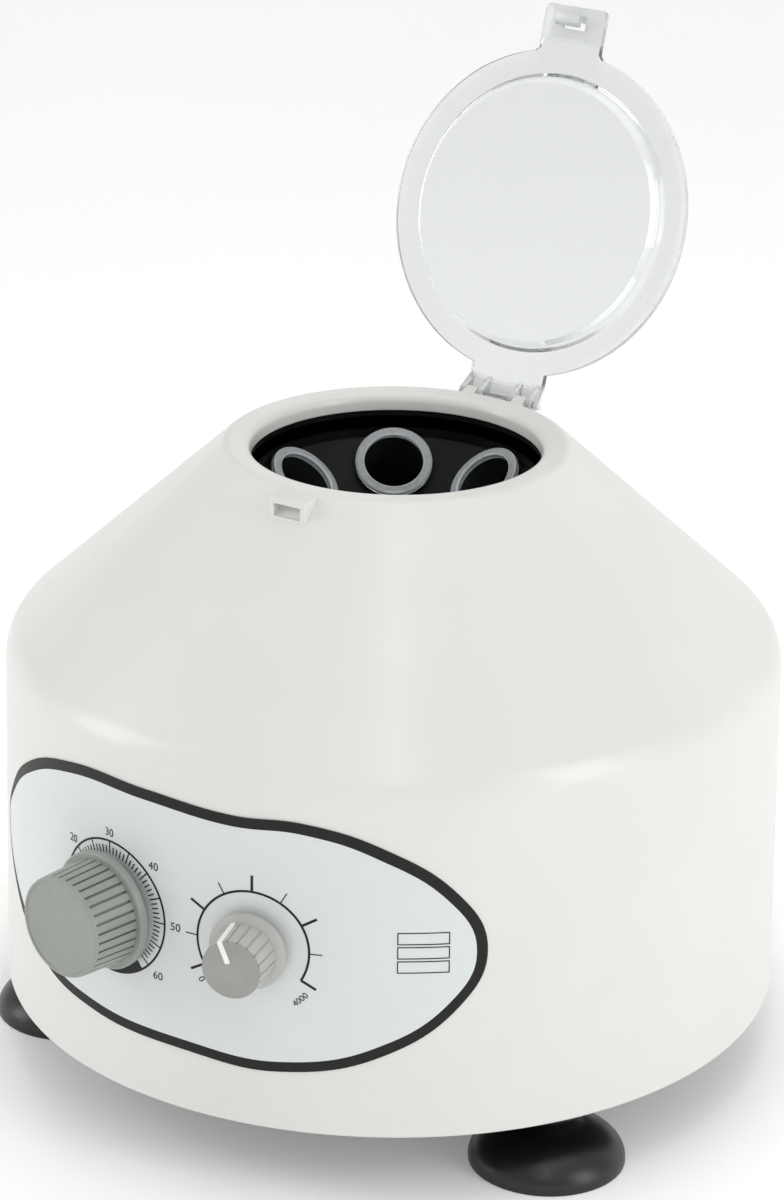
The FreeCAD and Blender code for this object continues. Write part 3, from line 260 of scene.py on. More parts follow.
# ---- finishing
def applied(piece, kind, **settings):
    pick(piece)
    modifier = piece.modifiers.new(kind.lower(), kind)
    for key, value in settings.items():
        setattr(modifier, key, value)
    bpy.ops.object.modifier_apply(modifier=modifier.name)
    return piece


def combined(piece, other, operation):
    """Join, cut or keep the overlap of two pieces; the second one is used up."""
    applied(piece, "BOOLEAN", operation=operation, solver="EXACT", object=other)
    bpy.data.objects.remove(other)
    return piece


def softened(piece, width, segments=2, angle=30.0):
    return applied(piece, "BEVEL", width=width * MM, segments=segments, limit_method="ANGLE",
                   angle_limit=radians(angle), use_clamp_overlap=True, harden_normals=False)


def smooth(piece, angle=35.0):
    pick(piece)
    bpy.ops.object.shade_smooth_by_angle(angle=radians(angle))
    return piece


def turned(piece, degrees, about=(0, 0, 0), axis="Z"):
    spot = Matrix.Translation(Vector(about) * MM)
    piece.matrix_world = spot @ Matrix.Rotation(radians(degrees), 4, axis) @ spot.inverted()
    return settle(piece)


def copied(piece, name):
    other = piece.copy()
    other.data = piece.data.copy()
    other.name = name
    other.data.name = name
    bpy.context.collection.objects.link(other)
    return other


def joined(name, pieces):
    pick(*pieces)
    if len(pieces) > 1:
        bpy.ops.object.join()
    return settle(named(name))


# ---- where things are
def joint(name):
    return next(j for j in frame["joints"] if j["name"] == name)


def mount(name):
    return next(m for m in frame["record"]["mounts"] if m["name"] == name)


def azimuth_of(name):
    """Degrees round the wall from the front, of a knob's axis."""
    axis = joint(name)["axis"]
    return atan2(-axis[0], axis[1]) * 180 / pi


def wall_radius(z, inward=0.0):
    return EDGE_RADIUS - (z - EDGE_Z) * WALL_LEAN - inward


def cone_z(radius, inward=0.0):
    return CREST_Z - (radius - LIP_RADIUS) * CONE_SLOPE - inward / CONE_COS


def cone_radius(z, inward=0.0):
    return LIP_RADIUS + (CREST_Z - inward / CONE_COS - z) / CONE_SLOPE


HINGE = Vector(joint("lid_hinge")["pos_m"]) / MM
CONTROL_Z = joint("timer_turn")["pos_m"][2] / MM
TIMER_AZIMUTH = azimuth_of("timer_turn")
SPEED_AZIMUTH = azimuth_of("speed_turn")
KNOB_BASE = wall_radius(CONTROL_Z) + 0.5 + KNOB_STANDOFF
TRAY_Y = EDGE_RADIUS - 4.2


# ---- material helpers
def linear(code):
    """Linear colour of a six-digit sRGB code."""
    parts = [int(code[i:i + 2], 16) / 255 for i in (0, 2, 4)]
    return [c / 12.92 if c <= 0.04045 else ((c + 0.055) / 1.055) ** 2.4 for c in parts] + [1.0]


def add(tree, kind, links=None, **settings):
    """Add a node, set its properties, and fill its sockets from values or other sockets."""
    node = tree.nodes.new("ShaderNode" + kind)
    for key, value in settings.items():
        setattr(node, key, value)
    for socket, source in (links or {}).items():
        if isinstance(source, bpy.types.NodeSocket):
            tree.links.new(source, node.inputs[socket])
        else:
            node.inputs[socket].default_value = source
    return node


def begin(name, **shader):
    """New material with one Principled shader; returns material, tree, shader and place."""
    material = bpy.data.materials.new(name)
    material.use_nodes = True
    tree = material.node_tree
    tree.nodes.clear()
    output = add(tree, "OutputMaterial")
    main = add(tree, "BsdfPrincipled", shader)
    tree.links.new(main.outputs["BSDF"], output.inputs["Surface"])
    place = add(tree, "TexCoord").outputs["Object"]
    return material, tree, main, place


def noise(tree, place, size, detail=3.0, rough=0.5):
    """Noise whose features are about size millimetres across."""
    return add(tree, "TexNoise", {"Vector": place, "Scale": 1 / (size * MM), "Detail": detail,
                                  "Roughness": rough}).outputs["Fac"]


def ramp(tree, factor, low, high, start=0.35, end=0.65):
    """Value that goes from low to high as the factor goes from start to end."""
    return add(tree, "MapRange", {"Value": factor, "From Min": start, "From Max": end,
                                  "To Min": low, "To Max": high}).outputs["Result"]


def tinted(tree, factor, first, second):
    mix = add(tree, "Mix", {"Factor": factor}, data_type="RGBA")
    mix.inputs[6].default_value = linear(first)
    mix.inputs[7].default_value = linear(second)
    return mix.outputs[2]


def relief(tree, main, height, depth, strength=1.0):
    """Raise the surface by a height pattern, depth millimetres deep."""
    bump = add(tree, "Bump", {"Height": height, "Strength": strength, "Distance": depth * MM})
    tree.links.new(bump.outputs["Normal"], main.inputs["Normal"])


def plastic(name, first, second, low, high, grain, depth, patch=30.0, **shader):
    """Moulded plastic: two close shades in patches, uneven gloss, and a fine grain if it has a depth."""
    material, tree, main, place = begin(name, **shader)
    tree.links.new(tinted(tree, ramp(tree, noise(tree, place, patch), 0, 1), first, second),
                   main.inputs["Base Color"])
    tree.links.new(ramp(tree, noise(tree, place, patch / 4), low, high), main.inputs["Roughness"])
    if depth:
        relief(tree, main, noise(tree, place, grain), depth)
    return material


def metal(name, first, second, low, high, patch, stretch=(1, 1, 1), depth=0.01, **shader):
    """Bare metal: tone and gloss vary in streaks that follow the stretch of the pattern."""
    material, tree, main, place = begin(name, **{"Metallic": 1.0}, **shader)
    mapped = add(tree, "Mapping", {"Vector": place, "Scale": stretch}).outputs["Vector"]
    streak = noise(tree, mapped, patch, 5.0, 0.6)
    tree.links.new(tinted(tree, ramp(tree, streak, 0, 1), first, second), main.inputs["Base Color"])
    tree.links.new(ramp(tree, streak, low, high), main.inputs["Roughness"])
    relief(tree, main, streak, depth)
    return material


def clear(name, tint, rough, **shader):
    """Clear moulding: light passes through, and its gloss has slight flow marks."""
    settings = {"Base Color": linear(tint), "Transmission Weight": 1.0, "IOR": 1.49}
    settings.update(shader)
    material, tree, main, place = begin(name, **settings)
    flow = noise(tree, place, 14.0, 2.0)
    tree.links.new(ramp(tree, flow, rough, rough + 0.04), main.inputs["Roughness"])
    relief(tree, main, flow, 0.01, 0.4)
    return material


def lid_plastic():
    """Clear polystyrene: glass clear in the middle, hazed by the mould at the flange, tongue and ribs."""
    material, tree, main, place = begin("clear_polystyrene", **{"Transmission Weight": 1.0, "IOR": 1.49})
    shut = Vector((0, 0, LID_Z))
    turn = Matrix.Rotation(radians(-LID_OPEN), 4, "X")
    middle = (Matrix.Translation(HINGE) @ turn @ Matrix.Translation(-HINGE)) @ shut * MM
    reach = add(tree, "VectorMath", {0: place, 1: middle}, operation="DISTANCE").outputs["Value"]
    haze = ramp(tree, reach, 0.0, 1.0, (BEVEL_RADIUS + 0.3) * MM, (BEVEL_RADIUS + 1.0) * MM)
    tree.links.new(tinted(tree, haze, "EBEDEE", "E9EBEB"), main.inputs["Base Color"])
    ends = ramp(tree, reach, 1.0, 0.6, (LIP_RADIUS + 1.5) * MM, (LIP_RADIUS + 4.0) * MM)
    tree.links.new(ends, main.inputs["Transmission Weight"])
    flow = ramp(tree, noise(tree, place, 5.0, 2.0), 0.85, 1.15)
    rough = add(tree, "Math", {0: ramp(tree, haze, 0.02, 0.14, 0, 1), 1: flow}, operation="MULTIPLY")
    tree.links.new(rough.outputs["Value"], main.inputs["Roughness"])
    return material


def tube_plastic():
    """Natural polypropylene: the thin wall is nearly clear, the thick flange is milky, and the rim edges are
    painted paler still as a highlight.
    """
    material, tree, main, place = begin("translucent_polypropylene", **{"IOR": 1.49})
    haze = add(tree, "Attribute", attribute_name="haze").outputs["Fac"]
    cloud = ramp(tree, noise(tree, place, 2.0), 0.9, 1.1)
    # Milkiness of the flange, plus the painted highlight on the rim edges, sets tone and clearness.
    milk_and_rim_highlight = add(tree, "Math", {0: haze, 1: cloud}, operation="MULTIPLY").outputs["Value"]
    tree.links.new(tinted(tree, ramp(tree, milk_and_rim_highlight, 0, 1, 0, 1), "C0C8CB", "D6DBDD"), main.inputs["Base Color"])
    tree.links.new(ramp(tree, milk_and_rim_highlight, 0.97, 0.25, 0, 2), main.inputs["Transmission Weight"])
    tree.links.new(ramp(tree, haze, 0.06, 0.2, 0, 1), main.inputs["Roughness"])
    return material


# ---- the finishes, by the frame's material slots
def finishes():
    made = {}
    # Warm white housing: even colour with a soft, slightly wavering gloss.
    made["white_abs"] = plastic("moulded_white_abs", "E0E0DC", "DEDED9", 0.28, 0.32, 3.0, 0.0, 70.0,
                                **{"Coat Weight": 0.12, "Coat Roughness": 0.14})
    # Pale blue-grey printed film with a faint cloudiness and a smooth gloss.
    made["panel_film"] = plastic("printed_polycarbonate_film", "D9DEDE", "D8DDDD", 0.25, 0.26, 0.5,
                                 0.0, 30.0)
    # Black paint on sheet steel, slightly textured.
    made["black_steel"] = plastic("black_powder_coat", "151516", "1D1D1E", 0.42, 0.6, 0.7, 0.03, 12.0)
    # Zinc plating: bright grey metal with a slightly cloudy tone.
    made["zinc_steel"] = metal("zinc_plated_steel", "B9BABA", "8F9192", 0.22, 0.42, 2.5)
    # Black plastic inside the machine: nearly even, half matt.
    made["black_plastic"] = plastic("moulded_black_pp", "060607", "0A0A0B", 0.42, 0.5, 0.8, 0.006, 16.0,
                                    **{"Specular IOR Level": 0.18})
    # Ground steel of the motor: grey, with fine level grinding lines round it.
    made["motor_steel"] = metal("ground_steel", "A4A5A6", "7F8183", 0.2, 0.4, 1.2, (1, 1, 14))
    # Cast aluminium: pale grey and dull, with a sandy skin.
    made["cast_aluminium"] = metal("cast_aluminium", "BBBCBD", "A0A2A4", 0.42, 0.62, 0.9, depth=0.04)
    # Stacked sheets: dark grey with the fine level lines of their edges.
    made["laminations"] = metal("lamination_steel", "6B6D70", "44464A", 0.35, 0.6, 0.5, (1, 1, 60), 0.03)
    # Copper wire: red-brown streaks under a glassy enamel.
    made["copper"] = metal("enamelled_copper", "B4632E", "8A4520", 0.25, 0.45, 0.7, (1, 1, 12), 0.05,
                           **{"Coat Weight": 0.6, "Coat Roughness": 0.15})
    # Pressed carbon: matt and nearly black, with a grey speckle.
    made["graphite"] = plastic("pressed_carbon", "1B1B1C", "2C2C2E", 0.55, 0.75, 0.3, 0.02, 2.0)
    # Bearing steel: bright and nearly mirror smooth.
    made["bearing_steel"] = metal("polished_bearing_steel", "D2D3D4", "B6B7B9", 0.08, 0.2, 4.0)
    # Black rubber: even and dark, with a broad soft sheen.
    made["rubber"] = plastic("moulded_rubber", "101010", "141415", 0.33, 0.37, 0.6, 0.0, 14.0,
                             **{"Specular IOR Level": 0.6})
    # Cases of the timer and the speed control: dark blue-grey, half matt.
    made["control_case"] = plastic("moulded_phenolic", "2B2C30", "35363A", 0.35, 0.5, 0.6, 0.01, 6.0)
    # Circuit board: green and glossy, a little uneven.
    made["board_laminate"] = plastic("solder_mask", "1B5A30", "236B3B", 0.25, 0.4, 0.4, 0.01, 5.0)
    # Capacitor case: mustard yellow, smooth and half glossy.
    made["capacitor_case"] = plastic("moulded_polyester_case", "C9A52E", "BB9725", 0.25, 0.4, 0.5, 0.01)
    # Contacts: pale gold metal, lightly clouded.
    made["brass_contact"] = metal("nickel_plated_brass", "D8C795", "B9A56E", 0.18, 0.34, 1.5)
    made["clear_plastic"] = lid_plastic()
    made["milky_plastic"] = tube_plastic()
    # Timer knob: mid grey with a green tinge and an even satin gloss.
    made["grey_knob"] = plastic("moulded_grey_abs", "959A94", "919690", 0.28, 0.34, 0.5, 0.004, 12.0)
    # Speed knob: light warm grey, a little more matt.
    made["light_knob"] = plastic("moulded_light_abs", "B4B3AF", "B0AFAB", 0.34, 0.42, 0.5, 0.004, 9.0)
    # Pointer line: clean white, half glossy.
    made["white_mark"] = plastic("white_paint", "F4F4F2", "ECECE9", 0.3, 0.42, 0.4, 0.01, 4.0)
    # Fuse tube: clear glass with a trace of green.
    made["fuse_glass"] = clear("fuse_glass", "EAF0EE", 0.01, IOR=1.5)
    return made


FINISH = finishes()
# Black screen print: dense and half matt, with a fine break-up in its tone.
INK = plastic("screen_print_ink", "111110", "171716", 0.4, 0.5, 0.3, 0.0, 3.0,
              **{"Specular IOR Level": 0.3})
# Speed knob's face: the knob's light grey painted darker, as shade where the face turns away from the lights.
SHADED_KNOB_FACE = plastic("moulded_cap_insert", "9C9C98", "969692", 0.34, 0.44, 0.5, 0.004, 9.0)


def dress(piece, material):
    piece.data.materials.clear()
    piece.data.materials.append(material)


def placed(piece, body, slot, *nodes, material=None):
    """Give a finished piece its finish, the body it rides on and the nodes it stands for."""
    dress(piece, material or FINISH[slot])
    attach(piece, body)
    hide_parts(*nodes)
    return piece


# ---- housing
def housing_shell():
    bend = HOUSING_WALL
    corner_z = SHOULDER_Z
    for _ in range(20):
        corner_z = cone_z(wall_radius(corner_z, bend), bend)
    skirt = MOUTH_RADIUS + bend
    under_z = CREST_Z - bend
    outline = rounded([
        (EDGE_RADIUS - bend, EDGE_Z, 0.5), (EDGE_RADIUS, EDGE_Z, 1.0), (SHOULDER_RADIUS, SHOULDER_Z, 14.0),
        (LIP_RADIUS, CREST_Z, 5.0), (MOUTH_RADIUS, CREST_Z, 3.4), (MOUTH_RADIUS, CREST_Z - LIP_DEPTH, 0.6),
        (skirt, CREST_Z - LIP_DEPTH), (skirt, under_z), (cone_radius(under_z, bend), under_z),
        (wall_radius(corner_z, bend), corner_z, 11.0)], 8)
    return spun("housing_shell", outline, 240)


def latch_boss():
    """Hollow box on the front of the rim with a bar over its open front."""
    sunk = HOUSING_WALL / 2
    top_z = CREST_Z - BOSS_DROP
    outside = across("latch_boss", [(-BOSS_FRONT, cone_z(BOSS_FRONT, sunk)), (-BOSS_FRONT, top_z),
                                    (-BOSS_ROOT, top_z), (-BOSS_ROOT, cone_z(BOSS_ROOT, sunk))], BOSS_WIDTH)
    softened(outside, 0.35)
    bar_z = CREST_Z - BOSS_BAR
    front = BOSS_FRONT + 1
    back = BOSS_ROOT + 3
    inside = across("boss_room", [(-front, cone_z(BOSS_FRONT, -BOSS_SILL)), (-front, bar_z),
                                  (-cone_radius(bar_z), bar_z), (-back, cone_z(back, HOUSING_WALL))],
                    BOSS_WIDTH - 2 * BOSS_WALL)
    return combined(outside, inside, "DIFFERENCE")


def hinge_lug(x):
    """One of the two lugs behind the rim that hold the hinge pin."""
    width = RIB_OFFSETS[1] - RIB_OFFSETS[0] - RIB_THICK - 2 * SEAT_GAP
    near = HINGE.y - 4.6
    far = HINGE.y + 2.6
    sunk = HOUSING_WALL / 2
    web = across("hinge_lug", [(near, cone_z(near, sunk)), (near, cone_z(near) + 0.3),
                               (HINGE.y - 0.9, HINGE.z + 2.1), (HINGE.y + KNUCKLE, HINGE.z),
                               (far, cone_z(far, sunk))], width, x)
    knuckle = bar("hinge_knuckle", KNUCKLE, width - 0.01, (x, HINGE.y, HINGE.z), (0, pi / 2, 0), 40)
    return combined(web, knuckle, "UNION")


def rear_box(name, width, heights, y0, y1, corner=0.0):
    """A block of the rear panel; heights are above the housing's edge."""
    outline = box_outline(-width / 2, width / 2, EDGE_Z + heights[0], EDGE_Z + heights[1], corner)
    return drawn(name, outline, lambda x, z: (x, y0, z), (0, y1 - y0, 0))


def cut_rear(shell):
    """Sunk tray at the rear with its holes for the mains inlet and the switch."""
    back = rear_box("tray_back", 46, (21, 82), TRAY_Y - HOUSING_WALL, TRAY_Y + HOUSING_WALL / 2)
    combined(shell, back, "UNION")
    tray = rear_box("tray_room", 40, (24, 79), TRAY_Y, EDGE_RADIUS + 5, 1.5)
    combined(shell, tray, "DIFFERENCE")
    for name, width, heights in (("inlet_hole", 26, (27, 56.5)), ("switch_hole", 19, (61, 76))):
        combined(shell, rear_box(name, width, heights, TRAY_Y - 10, TRAY_Y + 1), "DIFFERENCE")


def cut_controls(shell):
    """Round holes for the two controls, and the bore of the hinge pin."""
    for azimuth, radius in ((TIMER_AZIMUTH, 4.8), (SPEED_AZIMUTH, 3.8)):
        bore = bar("control_bore", radius, 30, (0, -EDGE_RADIUS, CONTROL_Z), (pi / 2, 0, 0))
        combined(shell, turned(bore, azimuth), "DIFFERENCE")
    pin = bar("pin_bore", PIN, 2 * PIN_HALF + 2, (0, HINGE.y, HINGE.z), (0, pi / 2, 0), 24)
    combined(shell, pin, "DIFFERENCE")


def add_screw_posts(shell):
    """Four posts inside the wall, trimmed to its inner side."""
    post_z = EDGE_Z + 13
    near = EDGE_RADIUS - 1
    far = EDGE_RADIUS + 30
    for corner in range(4):
        spot = Matrix.Rotation(radians(45 + 90 * corner), 3, "Z") @ Vector((POST_CIRCLE, 0, post_z))
        post = bar("screw_post", 6.0, 20, spot, (0, 0, 0), 40)
        combined(post, bar("screw_hole", 1.6, 24, spot), "DIFFERENCE")
        wall = spun("wall_trim", [(near, EDGE_Z - 1), (far, EDGE_Z - 1), (far, SHOULDER_Z),
                                  (near, SHOULDER_Z)], 240)
        combined(post, wall, "DIFFERENCE")
        combined(shell, post, "UNION")


def make_housing():
    shell = housing_shell()
    combined(shell, latch_boss(), "UNION")
    middle = sum(RIB_OFFSETS) / 2
    for x in (-middle, middle):
        combined(shell, hinge_lug(x), "UNION")
    cut_rear(shell)
    cut_controls(shell)
    add_screw_posts(shell)
    smooth(shell, 30)
    return placed(shell, "base", "white_abs", "housing")


# ---- panel
def panel_point(azimuth, height):
    z = EDGE_Z + height
    return wall_radius(z) * sin(radians(azimuth)), z


def panel_loop(name, border):
    """Closed smooth outline of the panel as a flat face in front of the wall, less a border."""
    fresh()
    curve = bpy.data.curves.new(name, "CURVE")
    curve.dimensions = "3D"
    line = curve.splines.new("BEZIER")
    line.bezier_points.add(len(PANEL_OUTLINE) - 1)
    line.use_cyclic_u = True
    line.resolution_u = 12
    for knot, (azimuth, height) in zip(line.bezier_points, PANEL_OUTLINE):
        x, z = panel_point(azimuth, height)
        knot.co = Vector((x, -EDGE_RADIUS - 20, z)) * MM
        knot.handle_left_type = "AUTO"
        knot.handle_right_type = "AUTO"
    loop = bpy.data.objects.new(name, curve)
    bpy.context.collection.objects.link(loop)
    pick(loop)
    bpy.ops.object.convert(target="MESH")
    edit("EDGE")
    bpy.ops.mesh.select_all(action="SELECT")
    bpy.ops.mesh.edge_face_add()
    if border:
        bpy.ops.mesh.select_mode(type="FACE")
        bpy.ops.mesh.select_all(action="SELECT")
        bpy.ops.mesh.inset(thickness=border * MM, depth=0)
        bpy.ops.mesh.select_all(action="INVERT")
        bpy.ops.mesh.delete(type="FACE")
    leave()
    return named(name)


def narrow_border(stamp, border):
    """Widen the face's outline at its left and right ends, where the border is narrow."""
    left = min(vertex.co.x for vertex in stamp.data.vertices)
    right = max(vertex.co.x for vertex in stamp.data.vertices)
    for vertex in stamp.data.vertices:
        near = max(0.0, 1 - (vertex.co.x - left) / (LEFT_REACH * MM))
        vertex.co.x -= (border - BORDER_LEFT) * MM * near * near
        near = max(0.0, 1 - (right - vertex.co.x) / (RIGHT_REACH * MM))
        vertex.co.x += (border - BORDER_RIGHT) * MM * near


def film(name, border, inner, outer):
    """Curved sheet on the wall, between two distances from it, cut to the panel's outline."""
    low = EDGE_Z + PANEL_LOW
    high = EDGE_Z + PANEL_HIGH
    sheet = spun(name, [(wall_radius(low, -inner), low), (wall_radius(low, -outer), low),
                        (wall_radius(high, -outer), high), (wall_radius(high, -inner), high)], WALL_STEPS)
    stamp = panel_loop("panel_stamp", border)
    if border:
        narrow_border(stamp, border)
    pick(stamp)
    edit("FACE")
    bpy.ops.mesh.select_all(action="SELECT")
    bpy.ops.mesh.extrude_region_move(TRANSFORM_OT_translate={"value": (0, 0.1, 0)})
    tidy_mesh()
    leave()
    combined(sheet, stamp, "INTERSECT")
    return smooth(sheet, 30)


def on_wall(piece, azimuth, distance, z=None):
    """Stand a piece built lying flat (Z outwards, Y up) in front of the wall, then turn it."""
    piece.matrix_world = (Matrix.Rotation(radians(azimuth), 4, "Z")
                          @ Matrix.Translation(Vector((0, -distance, CONTROL_Z if z is None else z)) * MM)
                          @ Matrix.Rotation(pi / 2, 4, "X"))
    return settle(piece)


def pressed(piece, azimuth, z=None, lift=0.62):
    """Press a flat print onto the panel's curve at an azimuth."""
    on_wall(piece, 0, EDGE_RADIUS + 8, z)
    wall = spun("press", [(wall_radius(EDGE_Z, -lift), EDGE_Z),
                          (wall_radius(SHOULDER_Z, -lift), SHOULDER_Z)], WALL_STEPS, False)
    applied(piece, "SHRINKWRAP", wrap_method="PROJECT", target=wall, use_project_y=True,
            use_positive_direction=True, use_negative_direction=True, offset=0)
    bpy.data.objects.remove(wall)
    applied(piece, "SOLIDIFY", thickness=0.05 * MM, offset=0)
    return turned(piece, azimuth)


def arc_band(name, inner, outer, start, end):
    """Flat band between two radii; angles run clockwise from straight up."""
    steps = max(4, int(abs(end - start) / 3))
    string([(inner, 0, 0), (outer, 0, 0)])
    bpy.ops.mesh.select_all(action="SELECT")
    bpy.ops.mesh.spin(steps=steps, angle=radians(end - start), center=(0, 0, 0), axis=(0, 0, 1))
    bpy.ops.mesh.select_all(action="SELECT")
    bpy.ops.mesh.remove_doubles(threshold=0.000002)
    leave()
    return turned(settle(named(name)), 90 - start)


def strip(name, width, height, x, y, pieces=1):
    """Flat rectangle in the XY plane, centred at a place and parted along its width."""
    fresh()
    bpy.ops.mesh.primitive_grid_add(x_subdivisions=pieces, y_subdivisions=1, size=MM,
                                    location=(x * MM, y * MM, 0))
    flat = named(name)
    flat.scale = (width, height, 1)
    return settle(flat)


def tick(name, inner, outer, width, angle):
    """Radial line of a dial; the angle runs clockwise from straight up."""
    return turned(strip(name, width, outer - inner, 0, (inner + outer) / 2), -angle)


def number(name, digits, size, radius, angle, tilt=0.0):
    """Plain dial number centred on a radius and angle."""
    fresh()
    bpy.ops.object.text_add()
    text = bpy.context.object
    text.data.body = digits
    text.data.size = size * MM
    text.data.align_x = "CENTER"
    text.data.align_y = "CENTER"
    text.data.resolution_u = 4
    pick(text)
    bpy.ops.object.convert(target="MESH")
    text = named(name)
    text.rotation_euler = (0, 0, radians(-tilt))
    text.location = Vector((radius * sin(radians(angle)), radius * cos(radians(angle)), 0)) * MM
    return settle(text)


def timer_dial():
    """Ring, minute lines, numbers and a filled stop segment round the timer knob."""
    ring, reach, line = 22.9, 19.2, 0.42
    middle, middle_angle, per_minute = 30, -2, 4.55
    marks = [arc_band("timer_ring", ring - 0.7, ring, -170, 189)]
    for minute in range(61):
        angle = (minute - middle) * per_minute + middle_angle
        whole = minute % 5 == 0
        marks.append(tick("timer_tick", reach - 1.0, ring - 0.2 if whole else reach + 1.5, line, angle))
    marks.append(arc_band("timer_stop", reach - 1.5, ring - 0.2, 143, 184))
    for value, angle, radius in ((10, -94, 26), (20, -48, 25.6), (30, -2, 25.4), (40, 43, 26.4),
                                 (50, 89, 26.6), (60, 133, 27.2)):
        marks.append(number("timer_number", str(value), 3.9, radius, angle))
    dial = joined("timer_dial", marks)
    pressed(dial, TIMER_AZIMUTH)
    return placed(dial, "base", "panel_film", material=INK)


def speed_dial():
    """Open ring with nine lines, alternately heavy and light, round the speed knob."""
    ring, step = 19.2, 30
    zero, full = -131, 135
    marks = [arc_band("speed_ring", ring - 0.75, ring, -4 * step, 4 * step)]
    for count in range(-4, 5):
        heavy = count % 2 == 0
        reach = ring + (5.2 if heavy else 3.8)
        marks.append(tick("speed_tick", ring - 0.4, reach, 0.85 if heavy else 0.35, count * step))
    marks.append(number("speed_zero", "0", 3.4, 23.0, zero, zero + 180))
    marks.append(number("speed_top", "4000", 3.0, 22.9, full, full - 180))
    dial = joined("speed_dial", marks)
    pressed(dial, SPEED_AZIMUTH)
    return placed(dial, "base", "panel_film", material=INK)


def frame_line(name, width, height, line, dx, dy):
    """Thin rectangular line frame centred at an offset."""
    bars = []
    for x, y, w, h in ((0, height / 2, width + line, line), (0, -height / 2, width + line, line),
                       (width / 2, 0, line, height), (-width / 2, 0, line, height)):
        bars.append(strip(name, w, h, dx + x, dy + y, 10))
    return bars


def spec_frames():
    """Three empty line frames, one above the other, at the panel's right."""
    width, height, line, pitch = 16.2, 3.9, 0.35, 4.9
    azimuth, middle_z = 36.6, EDGE_Z + 65.6
    lines = []
    for row in range(3):
        lines += frame_line("frame_line", width, height, line, 0, pitch * (1 - row))
    frames = joined("panel_frames", lines)
    pressed(frames, azimuth, middle_z)
    return placed(frames, "base", "panel_film", material=INK)


def make_panel():
    backing = film("panel_border", 0, 0.05, 0.50)
    placed(backing, "base", "panel_film", "control_panel", material=INK)
    face = film("panel_face", BORDER_WIDTH, 0.30, PANEL_THICK)
    placed(face, "base", "panel_film", "control_panel")
    timer_dial()
    speed_dial()
    spec_frames()


# ---- knobs
def ribbed_stem(name, root, face, length, ribs, share, deep):
    """Tapered stem; every rib takes share sides of the circle and is parted by a groove."""
    sides = ribs * (share + 1)
    fresh()
    bpy.ops.mesh.primitive_cone_add(vertices=sides, radius1=root * MM, radius2=face * MM,
                                    depth=length * MM, location=(0, 0, length / 2 * MM))
    stem = settle(named(name))
    turn = tau / sides

    def grooved(side):
        if abs(side.normal.z) > 0.5:
            return False
        return int((atan2(side.center.y, side.center.x) % tau) / turn) % (share + 1) == share

    choose(stem, grooved)
    edit("FACE")
    bpy.ops.mesh.extrude_region_shrink_fatten(TRANSFORM_OT_shrink_fatten={"value": -deep * MM})
    leave()
    return stem


def timer_knob():
    """Grey knob: grooved stem, smooth flange, and a raised bright ring round its flat face."""
    face, root, flange, thick, length = 16.8, 17.6, 19.8, 3.0, 19.9
    ribs, share, groove, dish = 34, 3, 1.2, 0.45
    stem = ribbed_stem("timer_knob", root, face + 0.1, length - thick - 0.7, ribs, share, groove)
    stem.location.z = (thick - 0.2) * MM
    settle(stem)
    softened(stem, 0.12, 1, 40)
    base = spun("timer_flange", rounded([(0, 0), (flange, 0, 0.5), (flange, thick, 0.9), (0, thick)], 5), 144)
    crown = spun("timer_crown", rounded([
        (0, length - 1.4), (face + 0.1, length - 1.4, 0.2), (face - 0.1, length, 0.5),
        (face - 0.9, length, 0.3), (face - 1.3, length - dish, 0.25), (0, length - dish)], 4), 144)
    knob = joined("timer_knob", [stem, base, crown])
    on_wall(knob, TIMER_AZIMUTH, KNOB_BASE)
    smooth(knob, 30)
    return placed(knob, "timer_knob", "grey_knob", "timer_knob")


def speed_knob():
    """Light knob: stem of broad ribs with narrow grooves over a smooth skirt."""
    stem = ribbed_stem("speed_knob", SPEED_ROOT, SPEED_FACE, SPEED_LENGTH - 0.4, *SPEED_RIBS)
    softened(stem, 0.3, 2, 25)
    inside_z = SPEED_THICK + 1.2
    skirt = spun("speed_skirt", rounded([(0, 0), (SPEED_SKIRT, 0, 0.4), (SPEED_SKIRT, SPEED_THICK - 0.5, 0.9),
                                         (SPEED_ROOT + 0.5, SPEED_THICK + 0.5, 0.5),
                                         (SPEED_ROOT - 1.2, inside_z), (0, inside_z)], 5), 144)
    knob = joined("speed_knob", [stem, skirt])
    on_wall(knob, SPEED_AZIMUTH, KNOB_BASE)
    smooth(knob, 30)
    return placed(knob, "speed_knob", "light_knob", "speed_knob")


def speed_cap():
    """Flat end of the speed knob, with the same ribs, in a darker grey that is painted shade on its face."""
    cap = ribbed_stem("speed_cap", SPEED_FACE + 0.05, SPEED_FACE, 0.7, *SPEED_RIBS)
    cap.location.z = (SPEED_LENGTH - 0.5) * MM
    settle(cap)
    softened(cap, 0.2, 2, 25)
    on_wall(cap, SPEED_AZIMUTH, KNOB_BASE)
    smooth(cap, 30)
    # Painted shade: the face disc gets the darker copy of the knob's grey.
    return placed(cap, "speed_knob", "light_knob", material=SHADED_KNOB_FACE)


def speed_pointer():
    """White line over the face and down the side of the speed knob."""
    start, proud, sunk, width = 2.4, 0.35, 0.8, 1.7
    top = SPEED_LENGTH + 0.6
    low = SPEED_THICK + 0.6
    under = SPEED_LENGTH - 0.3
    outline = rounded([(start, under), (start, top, 0.15), (SPEED_FACE + proud, top, 0.5),
                       (SPEED_ROOT + proud, low, 0.15), (SPEED_ROOT - sunk, low),
                       (SPEED_FACE - sunk, under)], 4)
    line = across("speed_pointer", outline, width)
    softened(line, 0.15, 1, 60)
    turned(line, POINTER_TURN)
    on_wall(line, SPEED_AZIMUTH, KNOB_BASE)
    smooth(line, 40)
    return placed(line, "speed_knob", "white_mark", "speed_pointer")


